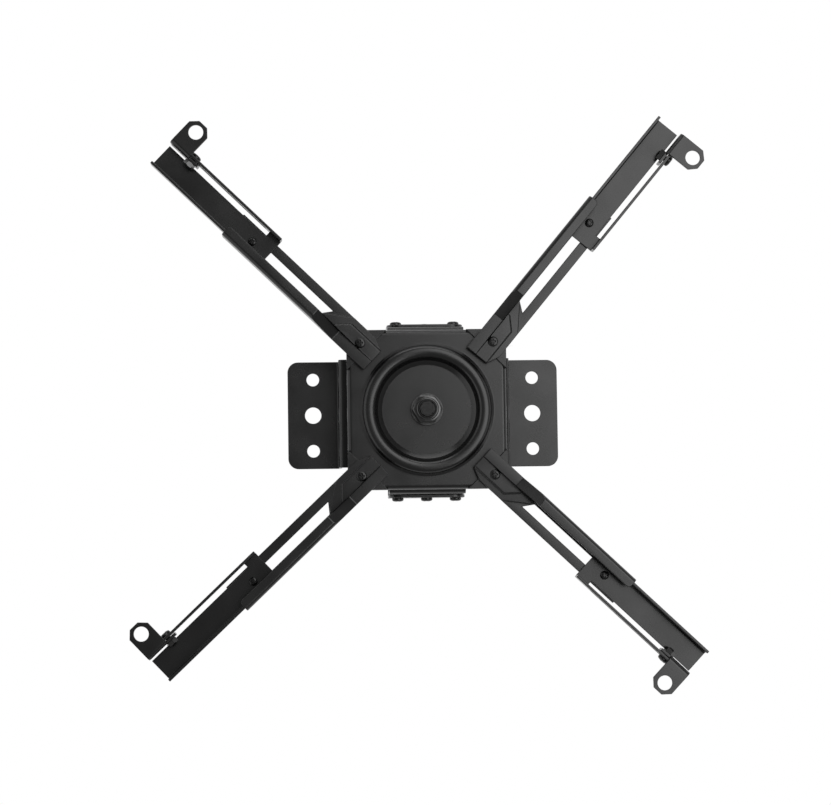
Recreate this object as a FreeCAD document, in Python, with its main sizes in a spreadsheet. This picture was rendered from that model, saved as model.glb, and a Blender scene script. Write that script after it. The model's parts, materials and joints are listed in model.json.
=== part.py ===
import FreeCAD, Part

# Projector ceiling mount: a folded bracket that screws to the ceiling, a tilting frame, a pressed
# plate that swivels on one bolt, and four telescopic arms that end in slotted-on feet.
#
# Every piece is drawn hanging: its own z is the depth below the ceiling, in millimetres. hang() then
# turns it over, so that in the finished part +Z is up and the ceiling face lies at z = 0.

import math
import os
import re

import Sketcher
from FreeCAD import Placement, Rotation, Vector

# Driving sizes, in millimetres and degrees, each with what it measures.
SIZES = [
    ("sheet", 2.0, "thickness of the folded bracket, frame, plate and feet"),
    ("arm_sheet", 1.8, "thickness of the arms"),
    ("bend_radius", 1.0, "inside radius of every fold"),
    ("slip_gap", 0.1, "air between flat faces that turn or slide on each other"),
    ("slide_gap", 0.3, "air beside a flange that slides in a channel"),
    ("running_gap", 0.08, "radial air round a pin that turns in a hole"),
    ("ear_reach", 91.0, "centre to the outer edge of a ceiling ear"),
    ("ear_width", 72.0, "length of a ceiling ear across the bracket"),
    ("ear_corner", 7.0, "corner radius of a ceiling ear"),
    ("ear_hole_reach", 74.0, "centre to the row of ceiling holes"),
    ("ear_hole_pitch", 24.0, "step between the ceiling holes"),
    ("ear_side_hole", 8.5, "diameter of the two outer ceiling holes"),
    ("ear_middle_hole", 11.0, "diameter of the middle ceiling hole"),
    ("bracket_half", 57.0, "centre to the outside of the bracket walls"),
    ("web_depth", 22.0, "ceiling to the lower face of the bracket web"),
    ("side_tab_half", 25.0, "half the width of a tilt tab"),
    ("side_tab_drop", 9.0, "tilt axis to the lower edge of a tilt tab"),
    ("side_tab_corner", 8.0, "corner radius of the tilt tabs and frame walls"),
    ("tilt_axis_depth", 36.0, "ceiling to the tilt axis"),
    ("tilt_limit", 15.0, "tilt each way, in degrees"),
    ("lock_radius", 19.0, "tilt axis to a lock screw"),
    ("lock_slot_play", 0.4, "how much wider a slot is than its screw"),
    ("tilt_pin", 6.0, "diameter of the tilt pins"),
    ("frame_rise", 7.0, "tilt axis to the upper edge of a frame wall"),
    ("frame_drop", 16.0, "tilt axis to the lower face of the frame web"),
    ("swivel_bolt", 10.0, "diameter of the swivel bolt"),
    ("bolt_head", 22.0, "diameter of its domed head"),
    ("bolt_head_height", 4.5, "height of its domed head"),
    ("bolt_end", 2.5, "how far the bolt stands out of its nut"),
    ("nut_flats", 17.0, "across the flats of the swivel nut"),
    ("nut_height", 7.4, "height of the hexagon of the swivel nut"),
    ("nut_collar", 14.6, "diameter of the locking collar of the swivel nut"),
    ("nut_collar_height", 2.4, "height of that collar"),
    ("bolt_washer", 21.0, "outer diameter of the washer under the swivel nut"),
    ("bolt_washer_height", 1.8, "thickness of that washer"),
    ("disc_diameter", 50.0, "diameter of the friction disc"),
    ("disc_height", 3.0, "thickness of the friction disc with its air"),
    ("plate_margin", 8.8, "arm pivot to the nearest edges of the arm plate"),
    ("plate_corner_cut", 6.6, "cut at each corner of the arm plate"),
    ("plate_flange_height", 7.0, "height of the folded rim of the arm plate"),
    ("rim_gap", 11.0, "plate edge to the end of the rim beside it"),
    ("dish_drop", 3.0, "plate face up to the dish floor"),
    ("dish_radius", 31.2, "radius of the dish floor"),
    ("dish_slope", 60.0, "steepness of the dish wall, in degrees"),
    ("bead_radius", 42.0, "outer radius of the raised bead"),
    ("bead_height", 3.5, "height of the raised bead"),
    ("bead_slope", 62.0, "steepness of the outside of the bead, in degrees"),
    ("bead_round", 1.7, "how far the slanted shoulders of the bead reach from its sharp crest"),
    ("corner_pad_leg", 26.0, "plate corner to the end of its raised pad"),
    ("corner_pad_height", 2.0, "step of the raised corner pads"),
    ("seat_diameter", 7.0, "diameter of the boss that an arm turns on"),
    ("arm_pivot_reach", 43.2, "centre to an arm pivot, along x and along y"),
    ("pivot_head", 6.6, "head diameter of the arm pivot screws"),
    ("pivot_head_height", 1.5, "head height of the arm pivot screws"),
    ("screw_head", 7.6, "head diameter of the tilt and foot screws"),
    ("screw_head_height", 2.3, "head height of those screws"),
    ("screw_shank", 4.0, "diameter of those screws"),
    ("screw_nut_flats", 7.0, "across the flats of their nuts"),
    ("screw_nut_height", 3.2, "height of their nuts"),
    ("screw_end", 0.8, "how far a screw stands out of its nut"),
    ("clamp_head", 5.6, "head diameter of an extension screw"),
    ("clamp_head_height", 2.0, "head height of an extension screw"),
    ("clamp_shank", 3.0, "diameter of an extension screw"),
    ("clamp_flange", 10.0, "flange diameter of an extension nut"),
    ("clamp_flange_height", 1.0, "flange thickness of an extension nut"),
    ("clamp_nut_flats", 5.5, "across the flats of an extension nut"),
    ("clamp_nut_height", 2.6, "height of the hexagon of an extension nut"),
    ("inner_tail", 13.5, "pivot to the near end of an inner arm"),
    ("inner_reach", 112.5, "pivot to the far end of an inner arm"),
    ("inner_rail_side", 11.0, "arm axis to the outside of the rail"),
    ("inner_strip_side", 9.5, "arm axis to the plain edge"),
    ("inner_corner", 8.5, "length of the cut corner at the near end, along the plain edge"),
    ("lip_gap", 0.2, "air between the head of an arm pivot screw and the edge of the rail lip"),
    ("rail_near_height", 4.5, "height of the rail where it runs beside the boss"),
    ("ramp_start", 15.0, "pivot to the foot of the ramp in the rail"),
    ("ramp_end", 34.0, "pivot to the top of that ramp"),
    ("slot_half", 3.2, "half the width of the long slot"),
    ("slot_start", 29.6, "pivot to the near end of the long slot"),
    ("slot_end_gap", 6.5, "far end of the long slot to the far end of the inner arm"),
    ("slot_skew", 5.0, "slant of the near end of the slot, across its width"),
    ("step_height", 1.0, "step between the near end of an inner arm and its slotted strip"),
    ("step_start", 14.0, "pivot to that step, on the plain edge"),
    ("boss_height", 1.2, "height of the pressed boss above the stepped near end"),
    ("boss_strip_side", 5.6, "arm axis to the plain side of the boss"),
    ("boss_corner", 12.7, "pivot to the corner of the boss on its plain side"),
    ("boss_tip", 20.3, "pivot to the tip of the boss"),
    ("boss_tip_side", 1.9, "arm axis to the tip of the boss"),
    ("boss_edge", 0.8, "draft of the boss, as a chamfer"),
    ("overlap", 28.5, "how much of an outer arm lies beside its inner arm at the middle setting"),
    ("outer_length", 95.5, "length of an outer arm"),
    ("slid_out_1", 2.7, "how far outer arm 1 is slid out past the middle setting"),
    ("slid_out_2", -1.5, "the same for outer arm 2"),
    ("slid_out_3", -0.5, "the same for outer arm 3"),
    ("slid_out_4", -1.7, "the same for outer arm 4"),
    ("outer_strip_side", 13.8, "arm axis to the outside of the foot flange"),
    ("outer_flange_height", 12.4, "height of both flanges of an outer arm"),
    ("gap_side", 8.6, "arm axis to the near side of the open gap"),
    ("gap_inset", 10.0, "near end of an outer arm to the closed end of its open gap"),
    ("clamp_inset", 13.7, "near end of an outer arm to the extension screw"),
    ("foot_slot_inset", 15.0, "near end of an outer arm to its foot slot"),
    ("foot_slot_end_gap", 9.5, "foot slot to the far end of an outer arm"),
    ("foot_screw_inset", 18.0, "foot screw to the far end of an outer arm"),
    ("foot_screw_rise", 6.2, "base of the outer arm to the foot screw"),
    ("foot_leg_length", 23.5, "length of the upright leg of a foot"),
    ("foot_width", 16.0, "width of the foot tab"),
    ("foot_reach", 32.5, "arm axis to the end of the foot tab"),
    ("foot_corner_cut", 4.6, "cut at the corners of the foot tab"),
    ("foot_hole", 9.5, "diameter of the hole for the projector screw"),
    ("foot_hole_reach", 25.5, "arm axis to that hole"),
]

# Where each arm points, in degrees from +X towards +Y, and the signs of its pivot along x and y.
ARMS = [
    (1, -50.2, 1, -1),
    (2, 43.4, 1, 1),
    (3, 136.6, -1, 1),
    (4, -136.0, -1, -1),
]

MATHS = {"sin", "cos", "tan"}
ALONG_X = Vector(1, 0, 0)
ALONG_Y = Vector(0, 1, 0)
ALONG_Z = Vector(0, 0, 1)
TOUCH = 1e-3

doc = FreeCAD.newDocument("projector_ceiling_mount")
sheet = doc.addObject("Spreadsheet::Sheet", "Sizes")
for row, (name, number, note) in enumerate(SIZES, start=1):
    sheet.set(f"A{row}", name)
    sheet.set(f"B{row}", str(number))
    sheet.set(f"C{row}", note)
    sheet.setAlias(f"B{row}", name)
doc.recompute()
size = {name: float(sheet.get(name)) for name, number, note in SIZES}

# Depths below the ceiling, each as an expression of the sheet and as a number.
FRAME_WEB = "(tilt_axis_depth + frame_drop)"
DISH_TOP = f"({FRAME_WEB} + disc_height)"
PLATE_TOP = f"({DISH_TOP} + dish_drop)"
PLATE_FACE = f"({PLATE_TOP} + sheet)"
PAD_FACE = f"({PLATE_FACE} + corner_pad_height)"
INNER_BASE = f"({PAD_FACE} + slip_gap)"
OUTER_BASE = f"({INNER_BASE} + arm_sheet + slip_gap)"
RAIL_TOP = f"({OUTER_BASE} + outer_flange_height + slide_gap)"
FOOT_TAB = f"({OUTER_BASE} + outer_flange_height + slide_gap)"
FOOT_SCREW = f"({OUTER_BASE} + foot_screw_rise)"

# Reaches along an arm from its pivot, and the half width of the plate, in the same two ways.
PLATE_HALF = "(arm_pivot_reach + plate_margin)"
RAIL_LIP = "(pivot_head / 2 + lip_gap)"
SLOT_END = "(inner_reach - slot_end_gap)"
OUTER_START = "(inner_reach - overlap)"
OUTER_END = f"({OUTER_START} + outer_length)"
CLAMP_REACH = f"({OUTER_START} + clamp_inset)"
FOOT_SLOT_START = f"({OUTER_START} + foot_slot_inset)"
FOOT_SLOT_END = f"({OUTER_END} - foot_slot_end_gap)"
FOOT_SCREW_REACH = f"({OUTER_END} - foot_screw_inset)"

plate_half = size["arm_pivot_reach"] + size["plate_margin"]
rail_lip_side = size["pivot_head"] / 2 + size["lip_gap"]
outer_start = size["inner_reach"] - size["overlap"]
outer_end = outer_start + size["outer_length"]
clamp_reach = outer_start + size["clamp_inset"]
foot_slot_start = outer_start + size["foot_slot_inset"]
foot_slot_end = outer_end - size["foot_slot_end_gap"]
foot_screw_reach = outer_end - size["foot_screw_inset"]

frame_web = size["tilt_axis_depth"] + size["frame_drop"]
dish_top = frame_web + size["disc_height"]
plate_top = dish_top + size["dish_drop"]
plate_face = plate_top + size["sheet"]
pad_face = plate_face + size["corner_pad_height"]
inner_base = pad_face + size["slip_gap"]
outer_base = inner_base + size["arm_sheet"] + size["slip_gap"]
boss_face = inner_base + size["arm_sheet"] + size["step_height"] + size["boss_height"]
foot_screw_depth = outer_base + size["foot_screw_rise"]


def cells(expression):
    """The expression with every plain word turned into a cell of the sheet."""
    return re.sub(
        r"[a-z_]+",
        lambda word: word.group(0) if word.group(0) in MATHS else "Sizes." + word.group(0),
        expression,
    )


def new_body(label):
    body = doc.addObject("PartDesign::Body", label)
    body.Label = label
    return body


def new_sketch(body, role, name, offset=None):
    """A sketch on one of the body's own planes, moved along that plane's normal by offset."""
    sketch = body.newObject("Sketcher::SketchObject", name)
    plane = next(part for part in body.Origin.OriginFeatures if part.Role == role)
    sketch.AttachmentSupport = [(plane, "")]
    sketch.MapMode = "FlatFace"
    if offset:
        sketch.setExpression("AttachmentOffset.Base.z", cells(offset))
    return sketch


def bind(sketch, kind, *where, to):
    """Adds a constraint whose value is an expression of the sheet."""
    index = sketch.addConstraint(Sketcher.Constraint(kind, *where))
    sketch.setExpression(f"Constraints[{index}]", cells(to))


def place(sketch, edge, point, across, up):
    """Fixes one point of an edge at a place measured from the sketch origin."""
    start = sketch.getPoint(edge, point)
    bind(sketch, "DistanceX", -1, 1, edge, point, start.x, to=across)
    bind(sketch, "DistanceY", -1, 1, edge, point, start.y, to=up)


def outline(sketch, corners):
    """A closed outline of straight edges through corners, given as pairs of expressions."""
    count = len(corners)
    first = sketch.GeometryCount
    turns = [2 * math.pi * step / count for step in range(count)]
    ring = [Vector(10 * math.cos(turn), 10 * math.sin(turn), 0) for turn in turns]
    for step in range(count):
        sketch.addGeometry(Part.LineSegment(ring[step], ring[(step + 1) % count]))
    for step in range(count):
        follower = first + (step + 1) % count
        sketch.addConstraint(Sketcher.Constraint("Coincident", first + step, 2, follower, 1))
    for step, (across, up) in enumerate(corners):
        place(sketch, first + step, 1, across, up)


def rectangle(sketch, left, right, low, high):
    outline(sketch, [(left, low), (right, low), (right, high), (left, high)])


def circle(sketch, across, up, diameter):
    edge = sketch.addGeometry(Part.Circle(Vector(0, 0, 0), ALONG_Z, 1))
    place(sketch, edge, 3, across, up)
    bind(sketch, "Diameter", edge, 2, to=diameter)


def straight_slot(sketch, start, end, up, width):
    """A round-ended slot along the sketch's x; start, end and up are pairs of expression and number."""
    left, right = Vector(start[1], up[1], 0), Vector(end[1], up[1], 0)
    lift = Vector(0, 2, 0)
    half = math.pi / 2
    first = sketch.GeometryCount
    sketch.addGeometry(Part.ArcOfCircle(Part.Circle(left, ALONG_Z, 2), half, 3 * half))
    sketch.addGeometry(Part.LineSegment(left - lift, right - lift))
    sketch.addGeometry(Part.ArcOfCircle(Part.Circle(right, ALONG_Z, 2), -half, half))
    sketch.addGeometry(Part.LineSegment(right + lift, left + lift))
    for edge, follower in ((0, 1), (1, 2), (2, 3), (3, 0)):
        joint = (first + edge, 2, first + follower, 1)
        sketch.addConstraint(Sketcher.Constraint("Tangent", *joint))
    sketch.addConstraint(Sketcher.Constraint("Equal", first, first + 2))
    place(sketch, first, 3, start[0], up[0])
    place(sketch, first + 2, 3, end[0], up[0])
    bind(sketch, "Radius", first, 2, to=f"({width}) / 2")


def arc_slot(sketch, side):
    """A curved slot round the tilt axis, on the side whose sign is given, as long as the tilt."""
    reach, width = size["lock_radius"], size["screw_shank"] + size["lock_slot_play"]
    swing = math.radians(size["tilt_limit"])
    middle = 0 if side > 0 else math.pi
    centre = Vector(0, size["tilt_axis_depth"], 0)
    first = sketch.GeometryCount
    outer, inner, upper, lower = range(first, first + 4)
    for radius in (reach + width / 2, reach - width / 2):
        path = Part.Circle(centre, ALONG_Z, radius)
        sketch.addGeometry(Part.ArcOfCircle(path, middle - swing, middle + swing))
    for turn, begin in ((middle + swing, middle + swing), (middle - swing, middle - swing + math.pi)):
        tip = centre + Vector(reach * math.cos(turn), reach * math.sin(turn), 0)
        cap = Part.Circle(tip, ALONG_Z, width / 2)
        sketch.addGeometry(Part.ArcOfCircle(cap, begin, begin + math.pi))
    sketch.addConstraint(Sketcher.Constraint("Coincident", inner, 3, outer, 3))
    for joint in ((outer, 2, upper, 1), (upper, 2, inner, 2), (inner, 1, lower, 1), (lower, 2, outer, 1)):
        sketch.addConstraint(Sketcher.Constraint("Tangent", *joint))
    place(sketch, outer, 3, "0", "tilt_axis_depth")
    half_width = "(screw_shank + lock_slot_play) / 2"
    bind(sketch, "Radius", outer, reach + width / 2, to=f"lock_radius + {half_width}")
    bind(sketch, "Radius", inner, reach - width / 2, to=f"lock_radius - {half_width}")
    for cap, sign in ((upper, side), (lower, -side)):
        up = sketch.getPoint(cap, 3).y
        rise = f"tilt_axis_depth + {sign} * lock_radius * sin(tilt_limit)"
        bind(sketch, "DistanceY", -1, 1, cap, 3, up, to=rise)


def pad(body, sketch, length, middle=False, reverse=False):
    feature = body.newObject("PartDesign::Pad", sketch.Name + "_pad")
    feature.Profile = sketch
    feature.setExpression("Length", cells(length))
    feature.Midplane = middle
    feature.Reversed = reverse
    sketch.Visibility = False
    return feature


def cut_through(body, sketch):
    """Cuts the sketch through the whole body, both ways, and checks that it removed something."""
    doc.recompute()
    before = body.Shape.Volume
    feature = body.newObject("PartDesign::Pocket", sketch.Name + "_cut")
    feature.Profile = sketch
    feature.Type = 1
    feature.Midplane = True
    doc.recompute()
    if feature.Shape.isNull() or feature.Shape.Volume > before - TOUCH:
        raise RuntimeError(f"{feature.Name} cuts nothing")
    return feature


def cut_down(body, sketch, depth):
    """Cuts the sketch towards greater depth, and checks that it removed something."""
    doc.recompute()
    before = body.Shape.Volume
    feature = body.newObject("PartDesign::Pocket", sketch.Name + "_cut")
    feature.Profile = sketch
    feature.setExpression("Length", cells(depth))
    feature.Reversed = True
    doc.recompute()
    if feature.Shape.isNull() or feature.Shape.Volume > before - TOUCH:
        raise RuntimeError(f"{feature.Name} cuts nothing")
    return feature


def revolve(body, sketch):
    feature = body.newObject("PartDesign::Revolution", sketch.Name + "_turned")
    feature.Profile = sketch
    feature.ReferenceAxis = (sketch, ["V_Axis"])
    feature.Angle = 360
    sketch.Visibility = False
    return feature


def straight_edges(shape, direction, wanted):
    """Names of the straight edges along direction whose middle satisfies wanted(x, y, z)."""
    names = []
    for number, edge in enumerate(shape.Edges, start=1):
        if edge.Curve.TypeId != "Part::GeomLine":
            continue
        if abs(abs(edge.tangentAt(edge.FirstParameter).dot(direction)) - 1) > TOUCH:
            continue
        middle = edge.CenterOfMass
        if wanted(middle.x, middle.y, middle.z):
            names.append(f"Edge{number}")
    return names


def round_edges(shape, radius, depth):
    """Names of the full circles of a radius at a depth, about the z axis."""
    names = []
    for number, edge in enumerate(shape.Edges, start=1):
        if edge.Curve.TypeId != "Part::GeomCircle":
            continue
        if abs(edge.Curve.Radius - radius) < TOUCH and abs(edge.Curve.Center.z - depth) < TOUCH:
            names.append(f"Edge{number}")
    return names


def dress(body, kind, name, radius, edges):
    """A fillet or chamfer of the body's tip on the named edges."""
    if not edges:
        raise RuntimeError(f"{name} finds no edge")
    base = body.Tip
    feature = body.newObject("PartDesign::" + kind, name)
    feature.Base = (base, edges)
    feature.setExpression("Radius" if kind == "Fillet" else "Size", cells(radius))
    doc.recompute()
    return feature


def near(one, other):
    return abs(one - other) < TOUCH


def hang(piece, across=0.0, along=0.0, angle=0.0, depth=0.0):
    """Turns a hanging piece over so that depth runs down, then turns and moves it in plan."""
    over = Rotation(ALONG_X, 180)
    piece.Placement = Placement(Vector(across, along, -depth), Rotation(ALONG_Z, angle) * over)


def hang_on_arm(piece, arm, reach=0.0, side=0.0, depth=0.0, lay=None):
    """Hangs a piece at a point of an arm: reach along it, side across it towards the rail."""
    number, angle, sign_x, sign_y = arm
    pivot = Vector(sign_x * size["arm_pivot_reach"], sign_y * size["arm_pivot_reach"], 0)
    over = Rotation(ALONG_Z, angle) * Rotation(ALONG_X, 180)
    turn = over * lay if lay else over
    piece.Placement = Placement(pivot + over.multVec(Vector(reach, side, depth)), turn)


def fold_bends(body, name, outer_edges, inner_edges, thickness):
    """Rounds the outside of folds by the bend radius and the sheet, and the inside by the bend."""
    doc.recompute()
    dress(body, "Fillet", name + "_outside", f"bend_radius + {thickness}", outer_edges(body.Shape))
    dress(body, "Fillet", name + "_inside", "bend_radius", inner_edges(body.Shape))


# Ceiling bracket: one folded sheet with two ears, two short walls, a web and two tilt tabs.
def ceiling_bracket():
    body = new_body("ceiling_bracket")
    hat = new_sketch(body, "XZ_Plane", "bracket_hat")
    wall = "(bracket_half - sheet)"
    outline(
        hat,
        [
            ("-ear_reach", "0"),
            (f"-{wall}", "0"),
            (f"-{wall}", "web_depth - sheet"),
            (wall, "web_depth - sheet"),
            (wall, "0"),
            ("ear_reach", "0"),
            ("ear_reach", "sheet"),
            ("bracket_half", "sheet"),
            ("bracket_half", "web_depth"),
            ("-bracket_half", "web_depth"),
            ("-bracket_half", "sheet"),
            ("-ear_reach", "sheet"),
        ],
    )
    pad(body, hat, "ear_width", middle=True)

    arms = new_sketch(body, "XY_Plane", "bracket_cross_web", "web_depth - sheet")
    rectangle(arms, "-side_tab_half", "side_tab_half", "-bracket_half", "bracket_half")
    pad(body, arms, "sheet")
    for side, offset, inwards in (("near", "bracket_half", True), ("far", "-bracket_half", False)):
        tab = new_sketch(body, "XZ_Plane", f"bracket_tab_{side}", offset)
        lower = "tilt_axis_depth + side_tab_drop"
        rectangle(tab, "-side_tab_half", "side_tab_half", "web_depth - sheet", lower)
        pad(body, tab, "sheet", reverse=inwards)

    ears = new_sketch(body, "XY_Plane", "bracket_ear_holes")
    for sign in ("", "-"):
        circle(ears, f"{sign}ear_hole_reach", "0", "ear_middle_hole")
        for step in ("ear_hole_pitch", "-ear_hole_pitch"):
            circle(ears, f"{sign}ear_hole_reach", step, "ear_side_hole")
    cut_through(body, ears)

    tilt = new_sketch(body, "XZ_Plane", "bracket_tilt_holes")
    circle(tilt, "0", "tilt_axis_depth", "tilt_pin + 2 * running_gap")
    for side in (1, -1):
        arc_slot(tilt, side)
    cut_through(body, tilt)

    half, thick = size["bracket_half"], size["sheet"]
    web, ear = size["web_depth"], size["ear_reach"]
    fold_bends(
        body,
        "bracket_wall_fold",
        lambda shape: straight_edges(
            shape,
            ALONG_Y,
            lambda x, y, z: (near(abs(x), half) and near(z, web)) or (near(abs(x), half - thick) and near(z, 0)),
        ),
        lambda shape: straight_edges(
            shape,
            ALONG_Y,
            lambda x, y, z: (near(abs(x), half - thick) and near(z, web - thick))
            or (near(abs(x), half) and near(z, thick)),
        ),
        "sheet",
    )
    fold_bends(
        body,
        "bracket_tab_fold",
        lambda shape: straight_edges(shape, ALONG_X, lambda x, y, z: near(abs(y), half) and near(z, web - thick)),
        lambda shape: straight_edges(shape, ALONG_X, lambda x, y, z: near(abs(y), half - thick) and near(z, web)),
        "sheet",
    )
    corners = straight_edges(body.Shape, ALONG_Z, lambda x, y, z: near(abs(x), ear))
    dress(body, "Fillet", "bracket_ear_corners", "ear_corner", corners)
    lower = size["tilt_axis_depth"] + size["side_tab_drop"]
    corners = straight_edges(
        body.Shape, ALONG_Y, lambda x, y, z: near(abs(x), size["side_tab_half"]) and near(z, lower)
    )
    dress(body, "Fillet", "bracket_tab_corners", "side_tab_corner", corners)
    hang(body)
    return body


# Tilt frame: a U-shaped strip that hangs between the tabs and carries the swivel bolt.
def tilt_frame():
    body = new_body("tilt_frame")
    channel = new_sketch(body, "YZ_Plane", "frame_channel")
    out = "(bracket_half - sheet - slide_gap)"
    inside = f"({out} - sheet)"
    rim = "tilt_axis_depth - frame_rise"
    outline(
        channel,
        [
            (f"-{out}", rim),
            (f"-{inside}", rim),
            (f"-{inside}", f"{FRAME_WEB} - sheet"),
            (inside, f"{FRAME_WEB} - sheet"),
            (inside, rim),
            (out, rim),
            (out, FRAME_WEB),
            (f"-{out}", FRAME_WEB),
        ],
    )
    pad(body, channel, "2 * side_tab_half", middle=True)

    holes = new_sketch(body, "XZ_Plane", "frame_side_holes")
    circle(holes, "0", "tilt_axis_depth", "tilt_pin")
    for across in ("lock_radius", "-lock_radius"):
        circle(holes, across, "tilt_axis_depth", "screw_shank")
    cut_through(body, holes)
    neck = new_sketch(body, "XY_Plane", "frame_square_hole")
    rectangle(neck, "-swivel_bolt / 2", "swivel_bolt / 2", "-swivel_bolt / 2", "swivel_bolt / 2")
    cut_through(body, neck)

    half = size["bracket_half"] - size["sheet"] - size["slide_gap"]
    thick = size["sheet"]
    fold_bends(
        body,
        "frame_fold",
        lambda shape: straight_edges(shape, ALONG_X, lambda x, y, z: near(abs(y), half) and near(z, frame_web)),
        lambda shape: straight_edges(
            shape, ALONG_X, lambda x, y, z: near(abs(y), half - thick) and near(z, frame_web - thick)
        ),
        "sheet",
    )
    upper = size["tilt_axis_depth"] - size["frame_rise"]
    corners = straight_edges(
        body.Shape, ALONG_Y, lambda x, y, z: near(abs(x), size["side_tab_half"]) and near(z, upper)
    )
    dress(body, "Fillet", "frame_corners", "side_tab_corner", corners)
    hang(body)
    return body


def screw(name, head, head_height, shank, length):
    """A plain screw: the head above z = 0 and the shank below."""
    body = new_body(name)
    side = new_sketch(body, "XZ_Plane", name + "_side")
    outline(
        side,
        [
            ("0", f"-{head_height}"),
            (f"{head} / 2", f"-{head_height}"),
            (f"{head} / 2", "0"),
            (f"({shank}) / 2", "0"),
            (f"({shank}) / 2", length),
            ("0", length),
        ],
    )
    revolve(body, side)
    return body


def hexagon(sketch, flats):
    """A hexagon about the sketch origin, measured across its flats."""
    corner = f"({flats}) / 2 / cos(30)"
    outline(sketch, [(f"{corner} * cos({turn})", f"{corner} * sin({turn})") for turn in range(0, 360, 60)])


def nut(name, flats, height, hole):
    """A hexagon nut from z = 0 downwards."""
    body = new_body(name)
    plan = new_sketch(body, "XY_Plane", name + "_plan")
    hexagon(plan, flats)
    pad(body, plan, height)
    bore = new_sketch(body, "XY_Plane", name + "_bore")
    circle(bore, "0", "0", hole)
    cut_through(body, bore)
    return body


def group(label, bodies):
    """Identical fasteners of one body of the mount, kept as separate solids in one piece."""
    cluster = doc.addObject("Part::Compound", label)
    cluster.Label = label
    cluster.Links = bodies
    return cluster


# Tilt fasteners: a pin on each side of the frame, and two lock screws beside each.
def tilt_fasteners():
    """A side screw points along y: side is the sign of y in the finished part."""
    outside = size["bracket_half"] + size["slip_gap"]
    inside = size["bracket_half"] - 2 * size["sheet"] - size["slide_gap"]
    depth = size["tilt_axis_depth"]
    through = "2 * sheet + slide_gap + slip_gap"

    def set_beside(piece, across, reach, side):
        piece.Placement = Placement(Vector(across, side * reach, -depth), Rotation(ALONG_X, 90 * side))

    pin = screw("tilt_pivot_screw", "screw_head", "screw_head_height", "tilt_pin", through)
    set_beside(pin, 0, outside, 1)

    rivet = new_body("tilt_pivot_rivet")
    side_view = new_sketch(rivet, "XZ_Plane", "rivet_side")
    outline(
        side_view,
        [
            ("0", "-0.4 * sheet"),
            ("screw_head / 2", "-0.4 * sheet"),
            ("screw_head / 2", "0"),
            ("tilt_pin / 2", "0"),
            ("tilt_pin / 2", through),
            ("screw_head / 2", through),
            ("screw_head / 2", f"{through} + 0.4 * sheet"),
            ("0", f"{through} + 0.4 * sheet"),
        ],
    )
    revolve(rivet, side_view)
    set_beside(rivet, 0, outside, -1)

    screws, nuts = [], []
    length = f"{through} + screw_nut_height + screw_end"
    for side in (1, -1):
        for across in (size["lock_radius"], -size["lock_radius"]):
            number = len(screws) + 1
            lock = screw(f"lock_screw_{number}", "screw_head", "screw_head_height", "screw_shank", length)
            set_beside(lock, across, outside, side)
            screws.append(lock)
            back = nut(f"lock_nut_{number}", "screw_nut_flats", "screw_nut_height", "screw_shank")
            set_beside(back, across, inside, side)
            nuts.append(back)
    return [pin, rivet, group("tilt_lock_screws", screws), group("tilt_lock_nuts", nuts)]


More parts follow.
